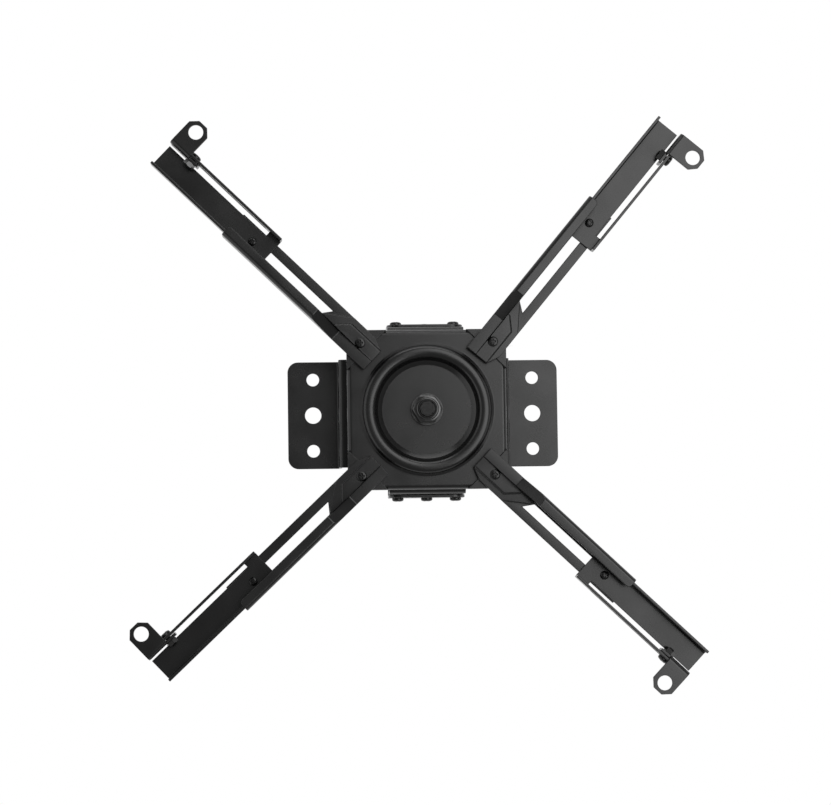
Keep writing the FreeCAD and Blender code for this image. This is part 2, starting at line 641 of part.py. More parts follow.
# Swivel joint: a carriage bolt held by its square neck, a friction disc, a washer and a lock nut.
def swivel_fasteners():
    washer_top = f"({DISH_TOP} + sheet + slip_gap)"
    nut_top = f"({washer_top} + bolt_washer_height)"
    bolt = new_body("swivel_bolt")
    side = new_sketch(bolt, "XZ_Plane", "bolt_side")
    head_top = f"{FRAME_WEB} - sheet - bolt_head_height"
    end = f"{nut_top} + nut_height + nut_collar_height + bolt_end"
    outline(
        side,
        [
            ("0", head_top),
            ("bolt_head / 2", head_top),
            ("bolt_head / 2", f"{FRAME_WEB} - sheet"),
            ("swivel_bolt / 2", f"{FRAME_WEB} - sheet"),
            ("swivel_bolt / 2", end),
            ("0", end),
        ],
    )
    revolve(bolt, side)
    neck = new_sketch(bolt, "XY_Plane", "bolt_neck", f"{FRAME_WEB} - sheet")
    rectangle(neck, "-swivel_bolt / 2", "swivel_bolt / 2", "-swivel_bolt / 2", "swivel_bolt / 2")
    pad(bolt, neck, "sheet")
    doc.recompute()
    top = frame_web - size["sheet"] - size["bolt_head_height"]
    rim = round_edges(bolt.Shape, size["bolt_head"] / 2, top)
    dress(bolt, "Chamfer", "bolt_dome", "bolt_head_height * 0.6", rim)
    tip = max(edge.Curve.Center.z for edge in bolt.Shape.Edges if edge.Curve.TypeId == "Part::GeomCircle")
    dress(bolt, "Chamfer", "bolt_tip", "bolt_end * 0.4", round_edges(bolt.Shape, size["swivel_bolt"] / 2, tip))
    hang(bolt)

    disc = new_body("friction_disc")
    plan = new_sketch(disc, "XY_Plane", "disc_plan", FRAME_WEB)
    circle(plan, "0", "0", "disc_diameter")
    circle(plan, "0", "0", "swivel_bolt + 2 * running_gap")
    pad(disc, plan, "disc_height - slip_gap")
    hang(disc)

    washer = new_body("swivel_washer")
    plan = new_sketch(washer, "XY_Plane", "washer_plan", washer_top)
    circle(plan, "0", "0", "bolt_washer")
    circle(plan, "0", "0", "swivel_bolt + 2 * running_gap")
    pad(washer, plan, "bolt_washer_height")
    hang(washer)

    lock = new_body("swivel_nut")
    plan = new_sketch(lock, "XY_Plane", "swivel_nut_plan", nut_top)
    hexagon(plan, "nut_flats")
    pad(lock, plan, "nut_height")
    collar = new_sketch(lock, "XY_Plane", "swivel_nut_collar", f"{nut_top} + nut_height")
    circle(collar, "0", "0", "nut_collar")
    pad(lock, collar, "nut_collar_height")
    bore = new_sketch(lock, "XY_Plane", "swivel_nut_bore")
    circle(bore, "0", "0", "swivel_bolt")
    cut_through(lock, bore)
    depth = dish_top + size["sheet"] + size["slip_gap"] + size["bolt_washer_height"]
    rim = round_edges(
        lock.Shape, size["nut_collar"] / 2, depth + size["nut_height"] + size["nut_collar_height"]
    )
    dress(lock, "Chamfer", "swivel_nut_round", "nut_collar_height * 0.4", rim)
    hang(lock)
    return [bolt, disc, washer, lock]


# Arm plate: a pressed square plate with a folded rim, a round dish in a raised bead, and a stepped
# pad with a small boss in each corner.
def arm_plate():
    body = new_body("arm_plate")
    box = new_sketch(body, "XY_Plane", "plate_box", f"{PLATE_FACE} - plate_flange_height")
    short = f"({PLATE_HALF} - plate_corner_cut)"
    corners = []
    for sign_x, sign_y, turned in (("", "", 0), ("-", "", 1), ("-", "-", 0), ("", "-", 1)):
        pair = [(f"{sign_x}{PLATE_HALF}", f"{sign_y}{short}"), (f"{sign_x}{short}", f"{sign_y}{PLATE_HALF}")]
        corners += pair[::-1] if turned else pair
    outline(box, corners)
    pad(body, box, "plate_flange_height")
    doc.recompute()
    half, thick = plate_half, size["sheet"]

    def rim_edges(shape, reach, depth):
        return straight_edges(
            shape, ALONG_X, lambda x, y, z: near(abs(y), reach) and near(z, depth)
        ) + straight_edges(shape, ALONG_Y, lambda x, y, z: near(abs(x), reach) and near(z, depth))

    dress(body, "Fillet", "plate_rim_outside", "bend_radius + sheet", rim_edges(body.Shape, half, plate_face))

    wall = f"({PLATE_HALF} - sheet)"
    end, past = f"({PLATE_HALF} - rim_gap)", f"({PLATE_HALF} + sheet)"
    hollow = new_sketch(body, "XY_Plane", "plate_hollow", f"{PLATE_FACE} - plate_flange_height")
    corners = []
    for sign_x, sign_y, turned in (("", "", 0), ("-", "", 1), ("-", "-", 0), ("", "-", 1)):
        steps = [(wall, end), (past, end), (past, past), (end, past), (end, wall)]
        steps = [(f"{sign_x}{across}", f"{sign_y}{up}") for across, up in steps]
        corners += steps[::-1] if turned else steps
    outline(hollow, corners)
    cut_down(body, hollow, "plate_flange_height - sheet")
    inside = rim_edges(body.Shape, half - thick, plate_top)
    dress(body, "Fillet", "plate_rim_inside", "bend_radius", inside)

    pads = new_sketch(body, "XY_Plane", "plate_pads", PLATE_TOP)
    backs = new_sketch(body, "XY_Plane", "plate_pad_backs", PLATE_TOP)
    bosses = new_sketch(body, "XY_Plane", "plate_bosses", PAD_FACE)
    foot = f"({PLATE_HALF} - corner_pad_leg)"
    inner_foot = f"({foot} + 2.25 * sheet)"
    for sign_x in ("", "-"):
        for sign_y in ("", "-"):
            outline(
                pads,
                [
                    (f"{sign_x}{foot}", f"{sign_y}{PLATE_HALF}"),
                    (f"{sign_x}{PLATE_HALF}", f"{sign_y}{foot}"),
                    (f"{sign_x}{PLATE_HALF}", f"{sign_y}{short}"),
                    (f"{sign_x}{short}", f"{sign_y}{PLATE_HALF}"),
                ],
            )
            outline(
                backs,
                [
                    (f"{sign_x}{inner_foot}", f"{sign_y}{wall}"),
                    (f"{sign_x}{wall}", f"{sign_y}{inner_foot}"),
                    (f"{sign_x}{wall}", f"{sign_y}({short} - sheet)"),
                    (f"{sign_x}({short} - sheet)", f"{sign_y}{wall}"),
                ],
            )
            circle(bosses, f"{sign_x}arm_pivot_reach", f"{sign_y}arm_pivot_reach", "seat_diameter")
    pad(body, pads, "sheet + corner_pad_height")
    cut_down(body, backs, "corner_pad_height")
    pad(body, bosses, "step_height + boss_height - slip_gap")

    opening = new_sketch(body, "XY_Plane", "plate_opening")
    circle(opening, "0", "0", "2 * bead_radius")
    cut_through(body, opening)
    dish = new_sketch(body, "XZ_Plane", "plate_dish")
    outer_slope = "sheet * tan(bead_slope / 2)"
    inner_slope = "sheet * tan(dish_slope / 2)"
    outer_crest = "(bead_radius - bead_height / tan(bead_slope))"
    inner_crest = "(dish_radius + (bead_height + dish_drop) / tan(dish_slope))"
    bore = "(swivel_bolt / 2 + running_gap)"
    crest = f"{PLATE_FACE} + bead_height"
    outline(
        dish,
        [
            (bore, f"{DISH_TOP} + sheet"),
            ("dish_radius", f"{DISH_TOP} + sheet"),
            (inner_crest, crest),
            (outer_crest, crest),
            ("bead_radius", PLATE_FACE),
            ("bead_radius", PLATE_TOP),
            (f"bead_radius - {outer_slope}", PLATE_TOP),
            (f"{outer_crest} - {outer_slope}", f"{crest} - sheet"),
            (f"{inner_crest} + {inner_slope}", f"{crest} - sheet"),
            (f"dish_radius + {inner_slope}", DISH_TOP),
            (bore, DISH_TOP),
        ],
    )
    revolve(body, dish)

    holes = new_sketch(body, "XY_Plane", "plate_pivot_holes")
    for sign_x in ("", "-"):
        for sign_y in ("", "-"):
            circle(holes, f"{sign_x}arm_pivot_reach", f"{sign_y}arm_pivot_reach", "screw_shank")
    cut_through(body, holes)

    doc.recompute()
    crest_depth = plate_face + size["bead_height"]
    slope = math.tan(math.radians(size["dish_slope"]))
    crest_in = size["dish_radius"] + (size["bead_height"] + size["dish_drop"]) / slope
    crest_out = size["bead_radius"] - size["bead_height"] / math.tan(math.radians(size["bead_slope"]))
    rims = round_edges(body.Shape, crest_in, crest_depth) + round_edges(body.Shape, crest_out, crest_depth)
    dress(body, "Chamfer", "plate_bead_crest", "bead_round", rims)
    rims = round_edges(body.Shape, size["dish_radius"], dish_top + thick)
    dress(body, "Chamfer", "plate_bead_foot", "bend_radius", rims)
    hang(body)
    return body


# Pivot fasteners: one screw down the boss in each corner, with its nut inside the rim.
def pivot_fasteners():
    screws, nuts = [], []
    grip = f"{INNER_BASE} + arm_sheet + step_height + boss_height + slip_gap - {PLATE_FACE}"
    for arm in ARMS:
        number = arm[0]
        length = f"{grip} + screw_nut_height + screw_end"
        pivot = screw(f"pivot_screw_{number}", "pivot_head", "pivot_head_height", "screw_shank", length)
        upwards = Rotation(ALONG_X, 180)
        hang_on_arm(pivot, arm, depth=boss_face + size["slip_gap"], lay=upwards)
        screws.append(pivot)
        back = nut(f"pivot_nut_{number}", "screw_nut_flats", "screw_nut_height", "screw_shank")
        hang_on_arm(back, arm, depth=plate_face, lay=upwards)
        nuts.append(back)
    return [group("arm_pivot_screws", screws), group("arm_pivot_nuts", nuts)]


# Inner arm: a slotted strip, one edge rolled into a rail. Its near end is stepped, with a pressed boss
# at the pivot, and the rail is low there and ramps up to its full height.
def inner_arm(arm):
    number = arm[0]
    label = f"inner_arm_{number}"
    body = new_body(label)
    near_plain = [("-inner_tail", "-boss_strip_side"), ("inner_corner - inner_tail", "-inner_strip_side")]
    strip = new_sketch(body, "XY_Plane", f"{label}_strip", INNER_BASE)
    far = [("inner_reach", "-inner_strip_side"), ("inner_reach", "inner_rail_side")]
    outline(strip, near_plain + far + [("-inner_tail", "inner_rail_side")])
    pad(body, strip, "arm_sheet")

    low = f"({INNER_BASE} + rail_near_height)"
    top = f"({RAIL_TOP} + arm_sheet)"
    wall = new_sketch(body, "XZ_Plane", f"{label}_wall", "-inner_rail_side")
    crest = [("ramp_start", low), ("ramp_end", top), ("inner_reach", top)]
    outline(
        wall, [("-inner_tail", INNER_BASE), ("-inner_tail", low)] + crest + [("inner_reach", INNER_BASE)]
    )
    pad(body, wall, "arm_sheet")
    lip = new_sketch(body, "XZ_Plane", f"{label}_lip", "-inner_rail_side")
    below = [("inner_reach", RAIL_TOP), ("ramp_end", RAIL_TOP), ("ramp_start", f"{low} - arm_sheet")]
    outline(lip, [("-inner_tail", low)] + crest + below + [("-inner_tail", f"{low} - arm_sheet")])
    pad(body, lip, f"inner_rail_side - {RAIL_LIP}")

    side, thick, reach = size["inner_rail_side"], size["arm_sheet"], size["inner_reach"]
    rail_low = inner_base + size["rail_near_height"]
    rail_top = outer_base + size["outer_flange_height"] + size["slide_gap"]
    fold_bends(
        body,
        f"{label}_fold",
        lambda shape: straight_edges(
            shape, ALONG_X, lambda x, y, z: near(y, side) and (near(z, inner_base) or near(z, rail_top + thick))
        ),
        lambda shape: straight_edges(
            shape,
            ALONG_X,
            lambda x, y, z: near(y, side - thick) and x > 0 and (near(z, rail_top) or near(z, inner_base + thick)),
        ),
        "arm_sheet",
    )
    corner = straight_edges(
        body.Shape,
        ALONG_Z,
        lambda x, y, z: near(x, reach) and near(y, rail_lip_side) and z > rail_low,
    )
    dress(body, "Fillet", f"{label}_lip_corner", "bend_radius + arm_sheet", corner)

    step = new_sketch(body, "XY_Plane", f"{label}_step", f"{INNER_BASE} + arm_sheet")
    slant = [("step_start", "-inner_strip_side"), ("slot_start + slot_skew / 2", "slot_half")]
    inside = "(inner_rail_side - arm_sheet / 2)"
    rail_end = [("slot_start + slot_skew / 2", inside), ("-inner_tail", inside)]
    outline(step, near_plain + slant + rail_end)
    pad(body, step, "step_height")
    boss = new_sketch(body, "XY_Plane", f"{label}_boss", f"{INNER_BASE} + arm_sheet + step_height")
    boss_outline(boss, "0")
    pad(body, boss, "boss_height")
    doc.recompute()
    drawn_in = [
        f"Edge{index}"
        for index, edge in enumerate(body.Shape.Edges, start=1)
        if near(edge.BoundBox.ZMin, boss_face) and near(edge.BoundBox.ZMax, boss_face)
        and edge.BoundBox.YMin < size["boss_tip_side"] and edge.BoundBox.XLength > TOUCH
    ]
    dress(body, "Chamfer", f"{label}_boss_edge", "boss_edge", drawn_in)

    step_back = new_sketch(body, "XY_Plane", f"{label}_step_back", INNER_BASE)
    past = "(inner_rail_side + arm_sheet)"
    outline(
        step_back,
        [
            ("-inner_tail - arm_sheet", "-inner_strip_side - arm_sheet"),
            ("step_start - 2 * arm_sheet", "-inner_strip_side - arm_sheet"),
            ("slot_start + slot_skew / 2 - arm_sheet", "slot_half"),
            ("slot_start + slot_skew / 2 - arm_sheet", past),
            ("-inner_tail - arm_sheet", past),
        ],
    )
    cut_down(body, step_back, "step_height")
    boss_back = new_sketch(body, "XY_Plane", f"{label}_boss_back", INNER_BASE)
    boss_outline(boss_back, "arm_sheet")
    cut_down(body, boss_back, "step_height + boss_height")

    long_slot = new_sketch(body, "XY_Plane", f"{label}_slot", INNER_BASE)
    outline(
        long_slot,
        [
            ("slot_start - slot_skew / 2", "-slot_half"),
            (SLOT_END, "-slot_half"),
            (SLOT_END, "slot_half"),
            ("slot_start + slot_skew / 2", "slot_half"),
        ],
    )
    cut_down(body, long_slot, "arm_sheet + step_height")
    bore = new_sketch(body, "XY_Plane", f"{label}_bore", INNER_BASE)
    circle(bore, "0", "0", "screw_shank + 2 * running_gap")
    cut_down(body, bore, "arm_sheet + step_height + boss_height")
    hang_on_arm(body, arm)
    return body


def boss_outline(sketch, inset):
    """The boss at an arm's pivot, drawn in by inset on its plain side and at its tip."""
    rail = "(inner_rail_side - arm_sheet)"
    outline(
        sketch,
        [
            ("-inner_tail", f"-(boss_strip_side - {inset})"),
            (f"boss_corner - 0.5 * {inset}", f"-(boss_strip_side - {inset})"),
            (f"boss_tip - 1.4 * {inset}", "boss_tip_side"),
            (f"boss_tip - 1.4 * {inset}", rail),
            ("-inner_tail", rail),
        ],
    )


def slid_out(arm):
    return size[f"slid_out_{arm[0]}"]


# Outer arm: a channel that slides in the rail, with an open gap beside its slotted foot flange.
def outer_arm(arm):
    number = arm[0]
    label = f"outer_arm_{number}"
    body = new_body(label)
    rail_side = "(inner_rail_side - arm_sheet - slide_gap)"
    strip = "outer_strip_side"
    upper = f"{OUTER_BASE} + outer_flange_height"
    section = new_sketch(body, "YZ_Plane", f"{label}_section", OUTER_START)
    outline(
        section,
        [
            (f"-{strip}", OUTER_BASE),
            (rail_side, OUTER_BASE),
            (rail_side, upper),
            (f"{rail_side} - arm_sheet", upper),
            (f"{rail_side} - arm_sheet", f"{OUTER_BASE} + arm_sheet"),
            (f"-({strip} - arm_sheet)", f"{OUTER_BASE} + arm_sheet"),
            (f"-({strip} - arm_sheet)", upper),
            (f"-{strip}", upper),
        ],
    )
    pad(body, section, "outer_length")

    gap = new_sketch(body, "XY_Plane", f"{label}_gap", OUTER_BASE)
    low_side = f"-({strip} - arm_sheet)"
    rectangle(gap, f"{OUTER_START} + gap_inset", f"{OUTER_END} + sheet", low_side, "-gap_side")
    cut_down(body, gap, "arm_sheet")
    slot = new_sketch(body, "XZ_Plane", f"{label}_foot_slot", f"{strip} - 2 * arm_sheet")
    ends = (FOOT_SLOT_START, foot_slot_start), (FOOT_SLOT_END, foot_slot_end)
    straight_slot(slot, *ends, (FOOT_SCREW, foot_screw_depth), "screw_shank + lock_slot_play")
    doc.recompute()
    before = body.Shape.Volume
    cut = body.newObject("PartDesign::Pocket", f"{label}_foot_slot_cut")
    cut.Profile = slot
    cut.setExpression("Length", cells("3 * arm_sheet"))
    cut.Reversed = True
    doc.recompute()
    if cut.Shape.isNull() or cut.Shape.Volume > before - TOUCH:
        raise RuntimeError(f"{label} has no foot slot")
    bore = new_sketch(body, "XY_Plane", f"{label}_bore", OUTER_BASE)
    circle(bore, CLAMP_REACH, "0", "clamp_shank")
    cut_down(body, bore, "arm_sheet")

    rail = size["inner_rail_side"] - size["arm_sheet"] - size["slide_gap"]
    thick = size["arm_sheet"]
    edge_side = size["outer_strip_side"]
    fold_bends(
        body,
        f"{label}_fold",
        lambda shape: straight_edges(
            shape, ALONG_X, lambda x, y, z: near(z, outer_base) and (near(y, rail) or near(y, -edge_side))
        ),
        lambda shape: straight_edges(
            shape, ALONG_X, lambda x, y, z: near(y, rail - thick) and near(z, outer_base + thick)
        ),
        "arm_sheet",
    )
    hang_on_arm(body, arm, reach=slid_out(arm))
    return body


# Extension fasteners: a screw through the long slot, with a flanged nut behind it.
def extension_fasteners(arm):
    number = arm[0]
    length = "2 * arm_sheet + 2 * slip_gap + clamp_flange_height + clamp_nut_height + screw_end"
    clamp = screw(f"extension_screw_{number}", "clamp_head", "clamp_head_height", "clamp_shank", length)
    upwards = Rotation(ALONG_X, 180)
    reach = clamp_reach + slid_out(arm)
    hang_on_arm(clamp, arm, reach=reach, depth=outer_base + size["arm_sheet"], lay=upwards)
    back = new_body(f"extension_nut_{number}")
    flange = new_sketch(back, "XY_Plane", f"extension_nut_{number}_flange")
    circle(flange, "0", "0", "clamp_flange")
    pad(back, flange, "clamp_flange_height")
    plan = new_sketch(back, "XY_Plane", f"extension_nut_{number}_plan", "clamp_flange_height")
    hexagon(plan, "clamp_nut_flats")
    pad(back, plan, "clamp_nut_height")
    bore = new_sketch(back, "XY_Plane", f"extension_nut_{number}_bore")
    circle(bore, "0", "0", "clamp_shank")
    cut_through(back, bore)
    hang_on_arm(back, arm, reach=reach, depth=inner_base - size["slip_gap"], lay=upwards)
    return [clamp, back]


# Foot: an angle whose leg slides inside the foot flange and whose tab takes the projector screw.
def foot_bracket(arm):
    number = arm[0]
    label = f"foot_bracket_{number}"
    body = new_body(label)
    leg_out = "(outer_strip_side - arm_sheet - slide_gap)"
    leg_in = f"({leg_out} - sheet)"
    leg_low = f"{OUTER_BASE} + slide_gap"
    near_end = f"({OUTER_END} - foot_leg_length)"
    leg = new_sketch(body, "XZ_Plane", f"{label}_leg", leg_in)
    rectangle(leg, near_end, OUTER_END, leg_low, f"{FOOT_TAB} + sheet")
    pad(body, leg, "sheet")
    notch = new_sketch(body, "XZ_Plane", f"{label}_notch", leg_in)
    side = f"({OUTER_END} - foot_width)"
    rectangle(notch, near_end, side, f"{FOOT_TAB} - sheet", f"{FOOT_TAB} + 2 * sheet")
    doc.recompute()
    cut = body.newObject("PartDesign::Pocket", f"{label}_notch_cut")
    cut.Profile = notch
    cut.setExpression("Length", cells("sheet"))
    cut.Reversed = True
    tab = new_sketch(body, "XY_Plane", f"{label}_tab", FOOT_TAB)
    outline(
        tab,
        [
            (side, f"-{leg_in}"),
            (side, "-(foot_reach - foot_corner_cut)"),
            (f"{side} + foot_corner_cut", "-foot_reach"),
            (f"{OUTER_END} - foot_corner_cut", "-foot_reach"),
            (OUTER_END, "-(foot_reach - foot_corner_cut)"),
            (OUTER_END, f"-{leg_in}"),
        ],
    )
    pad(body, tab, "sheet")
    hole = new_sketch(body, "XY_Plane", f"{label}_hole")
    circle(hole, f"{OUTER_END} - foot_width / 2", "-foot_hole_reach", "foot_hole")
    cut_through(body, hole)
    bore = new_sketch(body, "XZ_Plane", f"{label}_bore")
    circle(bore, FOOT_SCREW_REACH, FOOT_SCREW, "screw_shank")
    cut_through(body, bore)
    inside = size["outer_strip_side"] - size["arm_sheet"] - size["slide_gap"] - size["sheet"]
    bottom = outer_base + size["outer_flange_height"] + size["slide_gap"] + size["sheet"]
    bend = straight_edges(body.Shape, ALONG_X, lambda x, y, z: near(y, -inside) and near(z, bottom))
    dress(body, "Fillet", f"{label}_fold", "bend_radius + sheet", bend)
    hang_on_arm(body, arm, reach=slid_out(arm))
    return body


# Foot fasteners: a screw through the foot slot and the leg, with its nut on the inside.
def foot_fasteners(arm):
    number = arm[0]
    outside = size["outer_strip_side"] + size["slip_gap"]
    inside = size["outer_strip_side"] - size["arm_sheet"] - size["slide_gap"] - size["sheet"]
    length = "slip_gap + arm_sheet + slide_gap + sheet + screw_nut_height + screw_end"
    inwards = Rotation(ALONG_X, -90)
    fixing = screw(f"foot_screw_{number}", "screw_head", "screw_head_height", "screw_shank", length)
    place_along = foot_screw_reach + slid_out(arm)
    hang_on_arm(fixing, arm, reach=place_along, side=-outside, depth=foot_screw_depth, lay=inwards)
    back = nut(f"foot_nut_{number}", "screw_nut_flats", "screw_nut_height", "screw_shank")
    hang_on_arm(back, arm, reach=place_along, side=-inside, depth=foot_screw_depth, lay=inwards)
    return [fixing, back]


pieces = [ceiling_bracket(), tilt_frame()]
pieces += tilt_fasteners()
pieces += swivel_fasteners()
pieces.append(arm_plate())
pieces += pivot_fasteners()
for arm in ARMS:
    pieces.append(inner_arm(arm))
    pieces.append(outer_arm(arm))
    pieces += extension_fasteners(arm)
    pieces.append(foot_bracket(arm))
    pieces += foot_fasteners(arm)
doc.recompute()

for item in doc.Objects:
    if "Invalid" in item.State or "Error" in item.State:
        raise RuntimeError(f"{item.Label} failed: {item.State}")
for piece in pieces:
    if piece.Shape.isNull() or not piece.Shape.isValid():
        raise RuntimeError(f"{piece.Label} has no valid shape")

os.makedirs("parts", exist_ok=True)
for piece in pieces:
    piece.Shape.exportStep(f"parts/{piece.Label}.step")
    print(piece.Label, len(piece.Shape.Solids), round(piece.Shape.Volume, 1))
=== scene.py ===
# %% [markdown]
# A projector ceiling mount, seen from below. It is folded and pressed steel with a satin black
# powder coat, held together by black screws and one lock nut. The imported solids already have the
# right shapes and places, so this lesson spends its effort on what makes them look real: soft
# edges, threads and recesses on the fasteners, and the skin of the coating.

# %% Load the frame
import json
import math

import bmesh
import bpy
import numpy as np
from mathutils import Matrix, Vector


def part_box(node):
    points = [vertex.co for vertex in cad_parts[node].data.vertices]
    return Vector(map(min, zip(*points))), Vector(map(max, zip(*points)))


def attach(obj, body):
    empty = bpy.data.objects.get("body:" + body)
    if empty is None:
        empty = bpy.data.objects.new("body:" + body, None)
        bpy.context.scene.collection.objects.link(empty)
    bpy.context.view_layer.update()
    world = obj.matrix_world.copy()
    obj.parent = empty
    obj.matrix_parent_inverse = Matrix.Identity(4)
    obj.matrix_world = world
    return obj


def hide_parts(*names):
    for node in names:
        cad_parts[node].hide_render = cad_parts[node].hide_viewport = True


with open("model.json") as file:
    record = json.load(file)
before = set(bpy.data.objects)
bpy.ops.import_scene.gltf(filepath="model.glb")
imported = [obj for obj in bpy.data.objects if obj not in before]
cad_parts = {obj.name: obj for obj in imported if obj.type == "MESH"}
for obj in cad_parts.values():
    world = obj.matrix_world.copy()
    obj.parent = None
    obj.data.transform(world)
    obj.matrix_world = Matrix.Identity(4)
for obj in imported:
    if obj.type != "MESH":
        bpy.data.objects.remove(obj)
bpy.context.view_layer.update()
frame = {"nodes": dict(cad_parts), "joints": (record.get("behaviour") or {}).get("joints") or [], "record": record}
nodes = frame["nodes"]

# %% [markdown]
# The photograph looks straight up at the mount from about a metre and a half below. A camera can
# be aimed by eye, but here its place and turn were worked out from the holes and corners of the
# mount, so they are written as numbers. The picture's right is +X and its top is -Y. The camera
# stands a little to one side, which is why the ears slide out from behind the plate, and its long
# lens keeps the arms from spreading.

# %% Camera
MM = 0.001
IMAGE_WIDTH = 831
LENS_IN_PIXELS = 2400.0
SENSOR_MM = 36.0
EYE = Vector((-76.7, 90.4, -1616.7)) * MM
PICTURE_RIGHT = Vector((0.99895, 0.01415, -0.04353))
PICTURE_DOWN = Vector((-0.01146, 0.99805, 0.06136))
LOOK = PICTURE_RIGHT.cross(PICTURE_DOWN).normalized()


def place_camera():
    """The lens in millimetres is the lens in pixels times the sensor's width over the image's."""
    data = bpy.data.cameras.new("camera")
    data.sensor_width = SENSOR_MM
    data.lens = LENS_IN_PIXELS * SENSOR_MM / IMAGE_WIDTH
    data.clip_start, data.clip_end = 0.05, 50
    camera = bpy.data.objects.new("camera", data)
    bpy.context.scene.collection.objects.link(camera)
    turn = Matrix((PICTURE_RIGHT, -PICTURE_DOWN, -LOOK)).transposed()
    camera.matrix_world = Matrix.Translation(EYE) @ turn.to_4x4()
    bpy.context.scene.camera = camera
    return camera


camera = place_camera()
print("lens in millimetres:", round(camera.data.lens, 1))

# %% [markdown]
# A shader adds and multiplies light, so it wants linear numbers. Those are hard to read, and the
# hex values of a picture editor are easy, so each colour is written as hex and turned from sRGB
# to linear by one curve.

# %% Colours


def linear(hex_colour):
    """sRGB to linear: c/12.92 below 0.04045, else ((c + 0.055)/1.055) to the power 2.4."""
    parts = [int(hex_colour[i:i + 2], 16) / 255 for i in (1, 3, 5)]
    curve = [c / 12.92 if c <= 0.04045 else ((c + 0.055) / 1.055) ** 2.4 for c in parts]
    return (*curve, 1.0)


print("half grey on the screen sends back this share of the light:", round(linear("#808080")[0], 3))

# %% [markdown]
# A material is a small web of nodes. It can be drawn by hand in the node editor, or built by one
# function that adds a node, sets it and links it, so that a finish reads as a short list.

# %% Nodes


def add(tree, kind, settings=None, **sockets):
    """Adds a node. A socket, named or as n and its number, takes a constant or (node, output)."""
    node = tree.nodes.new(kind)
    for name, value in (settings or {}).items():
        setattr(node, name, value)
    for name, value in sockets.items():
        key = int(name[1:]) if name[0] == "n" and name[1:].isdigit() else name.replace("_", " ")
        socket = node.inputs[key]
        if isinstance(value, tuple) and isinstance(value[0], bpy.types.Node):
            tree.links.new(value[0].outputs[value[1]], socket)
        else:
            socket.default_value = value
    return node


def new_material(name):
    material = bpy.data.materials.new(name)
    material.use_nodes = True
    material.node_tree.nodes.clear()
    return material, material.node_tree


print("kinds of shader to choose from:", len([k for k in dir(bpy.types) if k.startswith("ShaderNodeBsdf")]))

# %% [markdown]
# Powder coat is a polyester powder that is sprayed on and baked. It flows into a satin skin with
# a fine orange peel, about a millimetre from dimple to dimple, and pulls a little unevenly, which
# shows as faint clouds. The peel could be an image, but a noise has no seams and keeps its size on
# every sheet. The powder's own grain is too fine to show, so it is drawn at 0.28 mm. A noise seldom
# leaves the range 0.3 to 0.7, so that range is drawn out to the roughness that the eye reads.

# %% Powder coat
PEEL, POWDER_GRAIN, COAT_CLOUD = 1.1 * MM, 0.28 * MM, 23 * MM
NOISE_LOW, NOISE_HIGH = 0.3, 0.7


def powder_coat(name, colour, worn, roughness):
    material, tree = new_material(name)
    place = add(tree, "ShaderNodeTexCoord")
    peel = add(tree, "ShaderNodeTexNoise", Vector=(place, "Object"), Scale=1 / PEEL, Detail=2.0)
    grain = add(tree, "ShaderNodeTexNoise", Vector=(place, "Object"), Scale=1 / POWDER_GRAIN, Detail=1.0)
    cloud = add(tree, "ShaderNodeTexNoise", Vector=(place, "Object"), Scale=1 / COAT_CLOUD, Detail=3.0)
    tint = add(
        tree, "ShaderNodeMix", {"data_type": "RGBA"},
        Factor=(cloud, "Fac"), n6=linear(colour), n7=linear(worn),
    )
    gloss = add(
        tree, "ShaderNodeMapRange", Value=(cloud, "Fac"),
        n1=NOISE_LOW, n2=NOISE_HIGH, n3=roughness - 0.04, n4=roughness + 0.05,
    )
    dimples = add(tree, "ShaderNodeBump", Strength=0.07, Distance=0.04 * MM, Height=(peel, "Fac"))
    finer = add(
        tree, "ShaderNodeBump", Strength=0.05, Distance=0.02 * MM,
        Height=(grain, "Fac"), Normal=(dimples, "Normal"),
    )
    skin = add(
        tree, "ShaderNodeBsdfPrincipled", Base_Color=(tint, 2), Roughness=(gloss, "Result"),
        Normal=(finer, "Normal"), IOR=1.5,
    )
    add(tree, "ShaderNodeOutputMaterial", Surface=(skin, "BSDF"))
    return material


coat = powder_coat("satin_black_powder_coat", "#0d0d0d", "#131313", 0.25)
print("nodes in the powder coat:", len(coat.node_tree.nodes))

# %% [markdown]
# The screws are steel with a black oxide: a very thin, slightly oily layer on metal, so they
# shine a little more than the coating and their highlights are tighter. The nuts are black zinc,
# which is paler. Black paint would do from afar, but only a metal shader gives the coloured,
# narrow highlight. The marks of forming are too fine to show, so they are drawn at half a millimetre.

# %% Black oxide and black zinc
TOOL_MARKS, OXIDE_CLOUD = 0.5 * MM, 2.5 * MM


def blackened_steel(name, colour, worn, roughness, metallic):
    material, tree = new_material(name)
    place = add(tree, "ShaderNodeTexCoord")
    marks = add(tree, "ShaderNodeTexNoise", Vector=(place, "Object"), Scale=1 / TOOL_MARKS, Detail=2.0)
    cloud = add(tree, "ShaderNodeTexNoise", Vector=(place, "Object"), Scale=1 / OXIDE_CLOUD, Detail=2.0)
    tint = add(
        tree, "ShaderNodeMix", {"data_type": "RGBA"},
        Factor=(cloud, "Fac"), n6=linear(colour), n7=linear(worn),
    )
    gloss = add(
        tree, "ShaderNodeMapRange", Value=(marks, "Fac"),
        n1=NOISE_LOW, n2=NOISE_HIGH, n3=roughness - 0.05, n4=roughness + 0.05,
    )
    rough = add(tree, "ShaderNodeBump", Strength=0.08, Distance=0.03 * MM, Height=(marks, "Fac"))
    skin = add(
        tree, "ShaderNodeBsdfPrincipled", Base_Color=(tint, 2), Roughness=(gloss, "Result"),
        Normal=(rough, "Normal"), Metallic=metallic,
    )
    add(tree, "ShaderNodeOutputMaterial", Surface=(skin, "BSDF"))
    return material


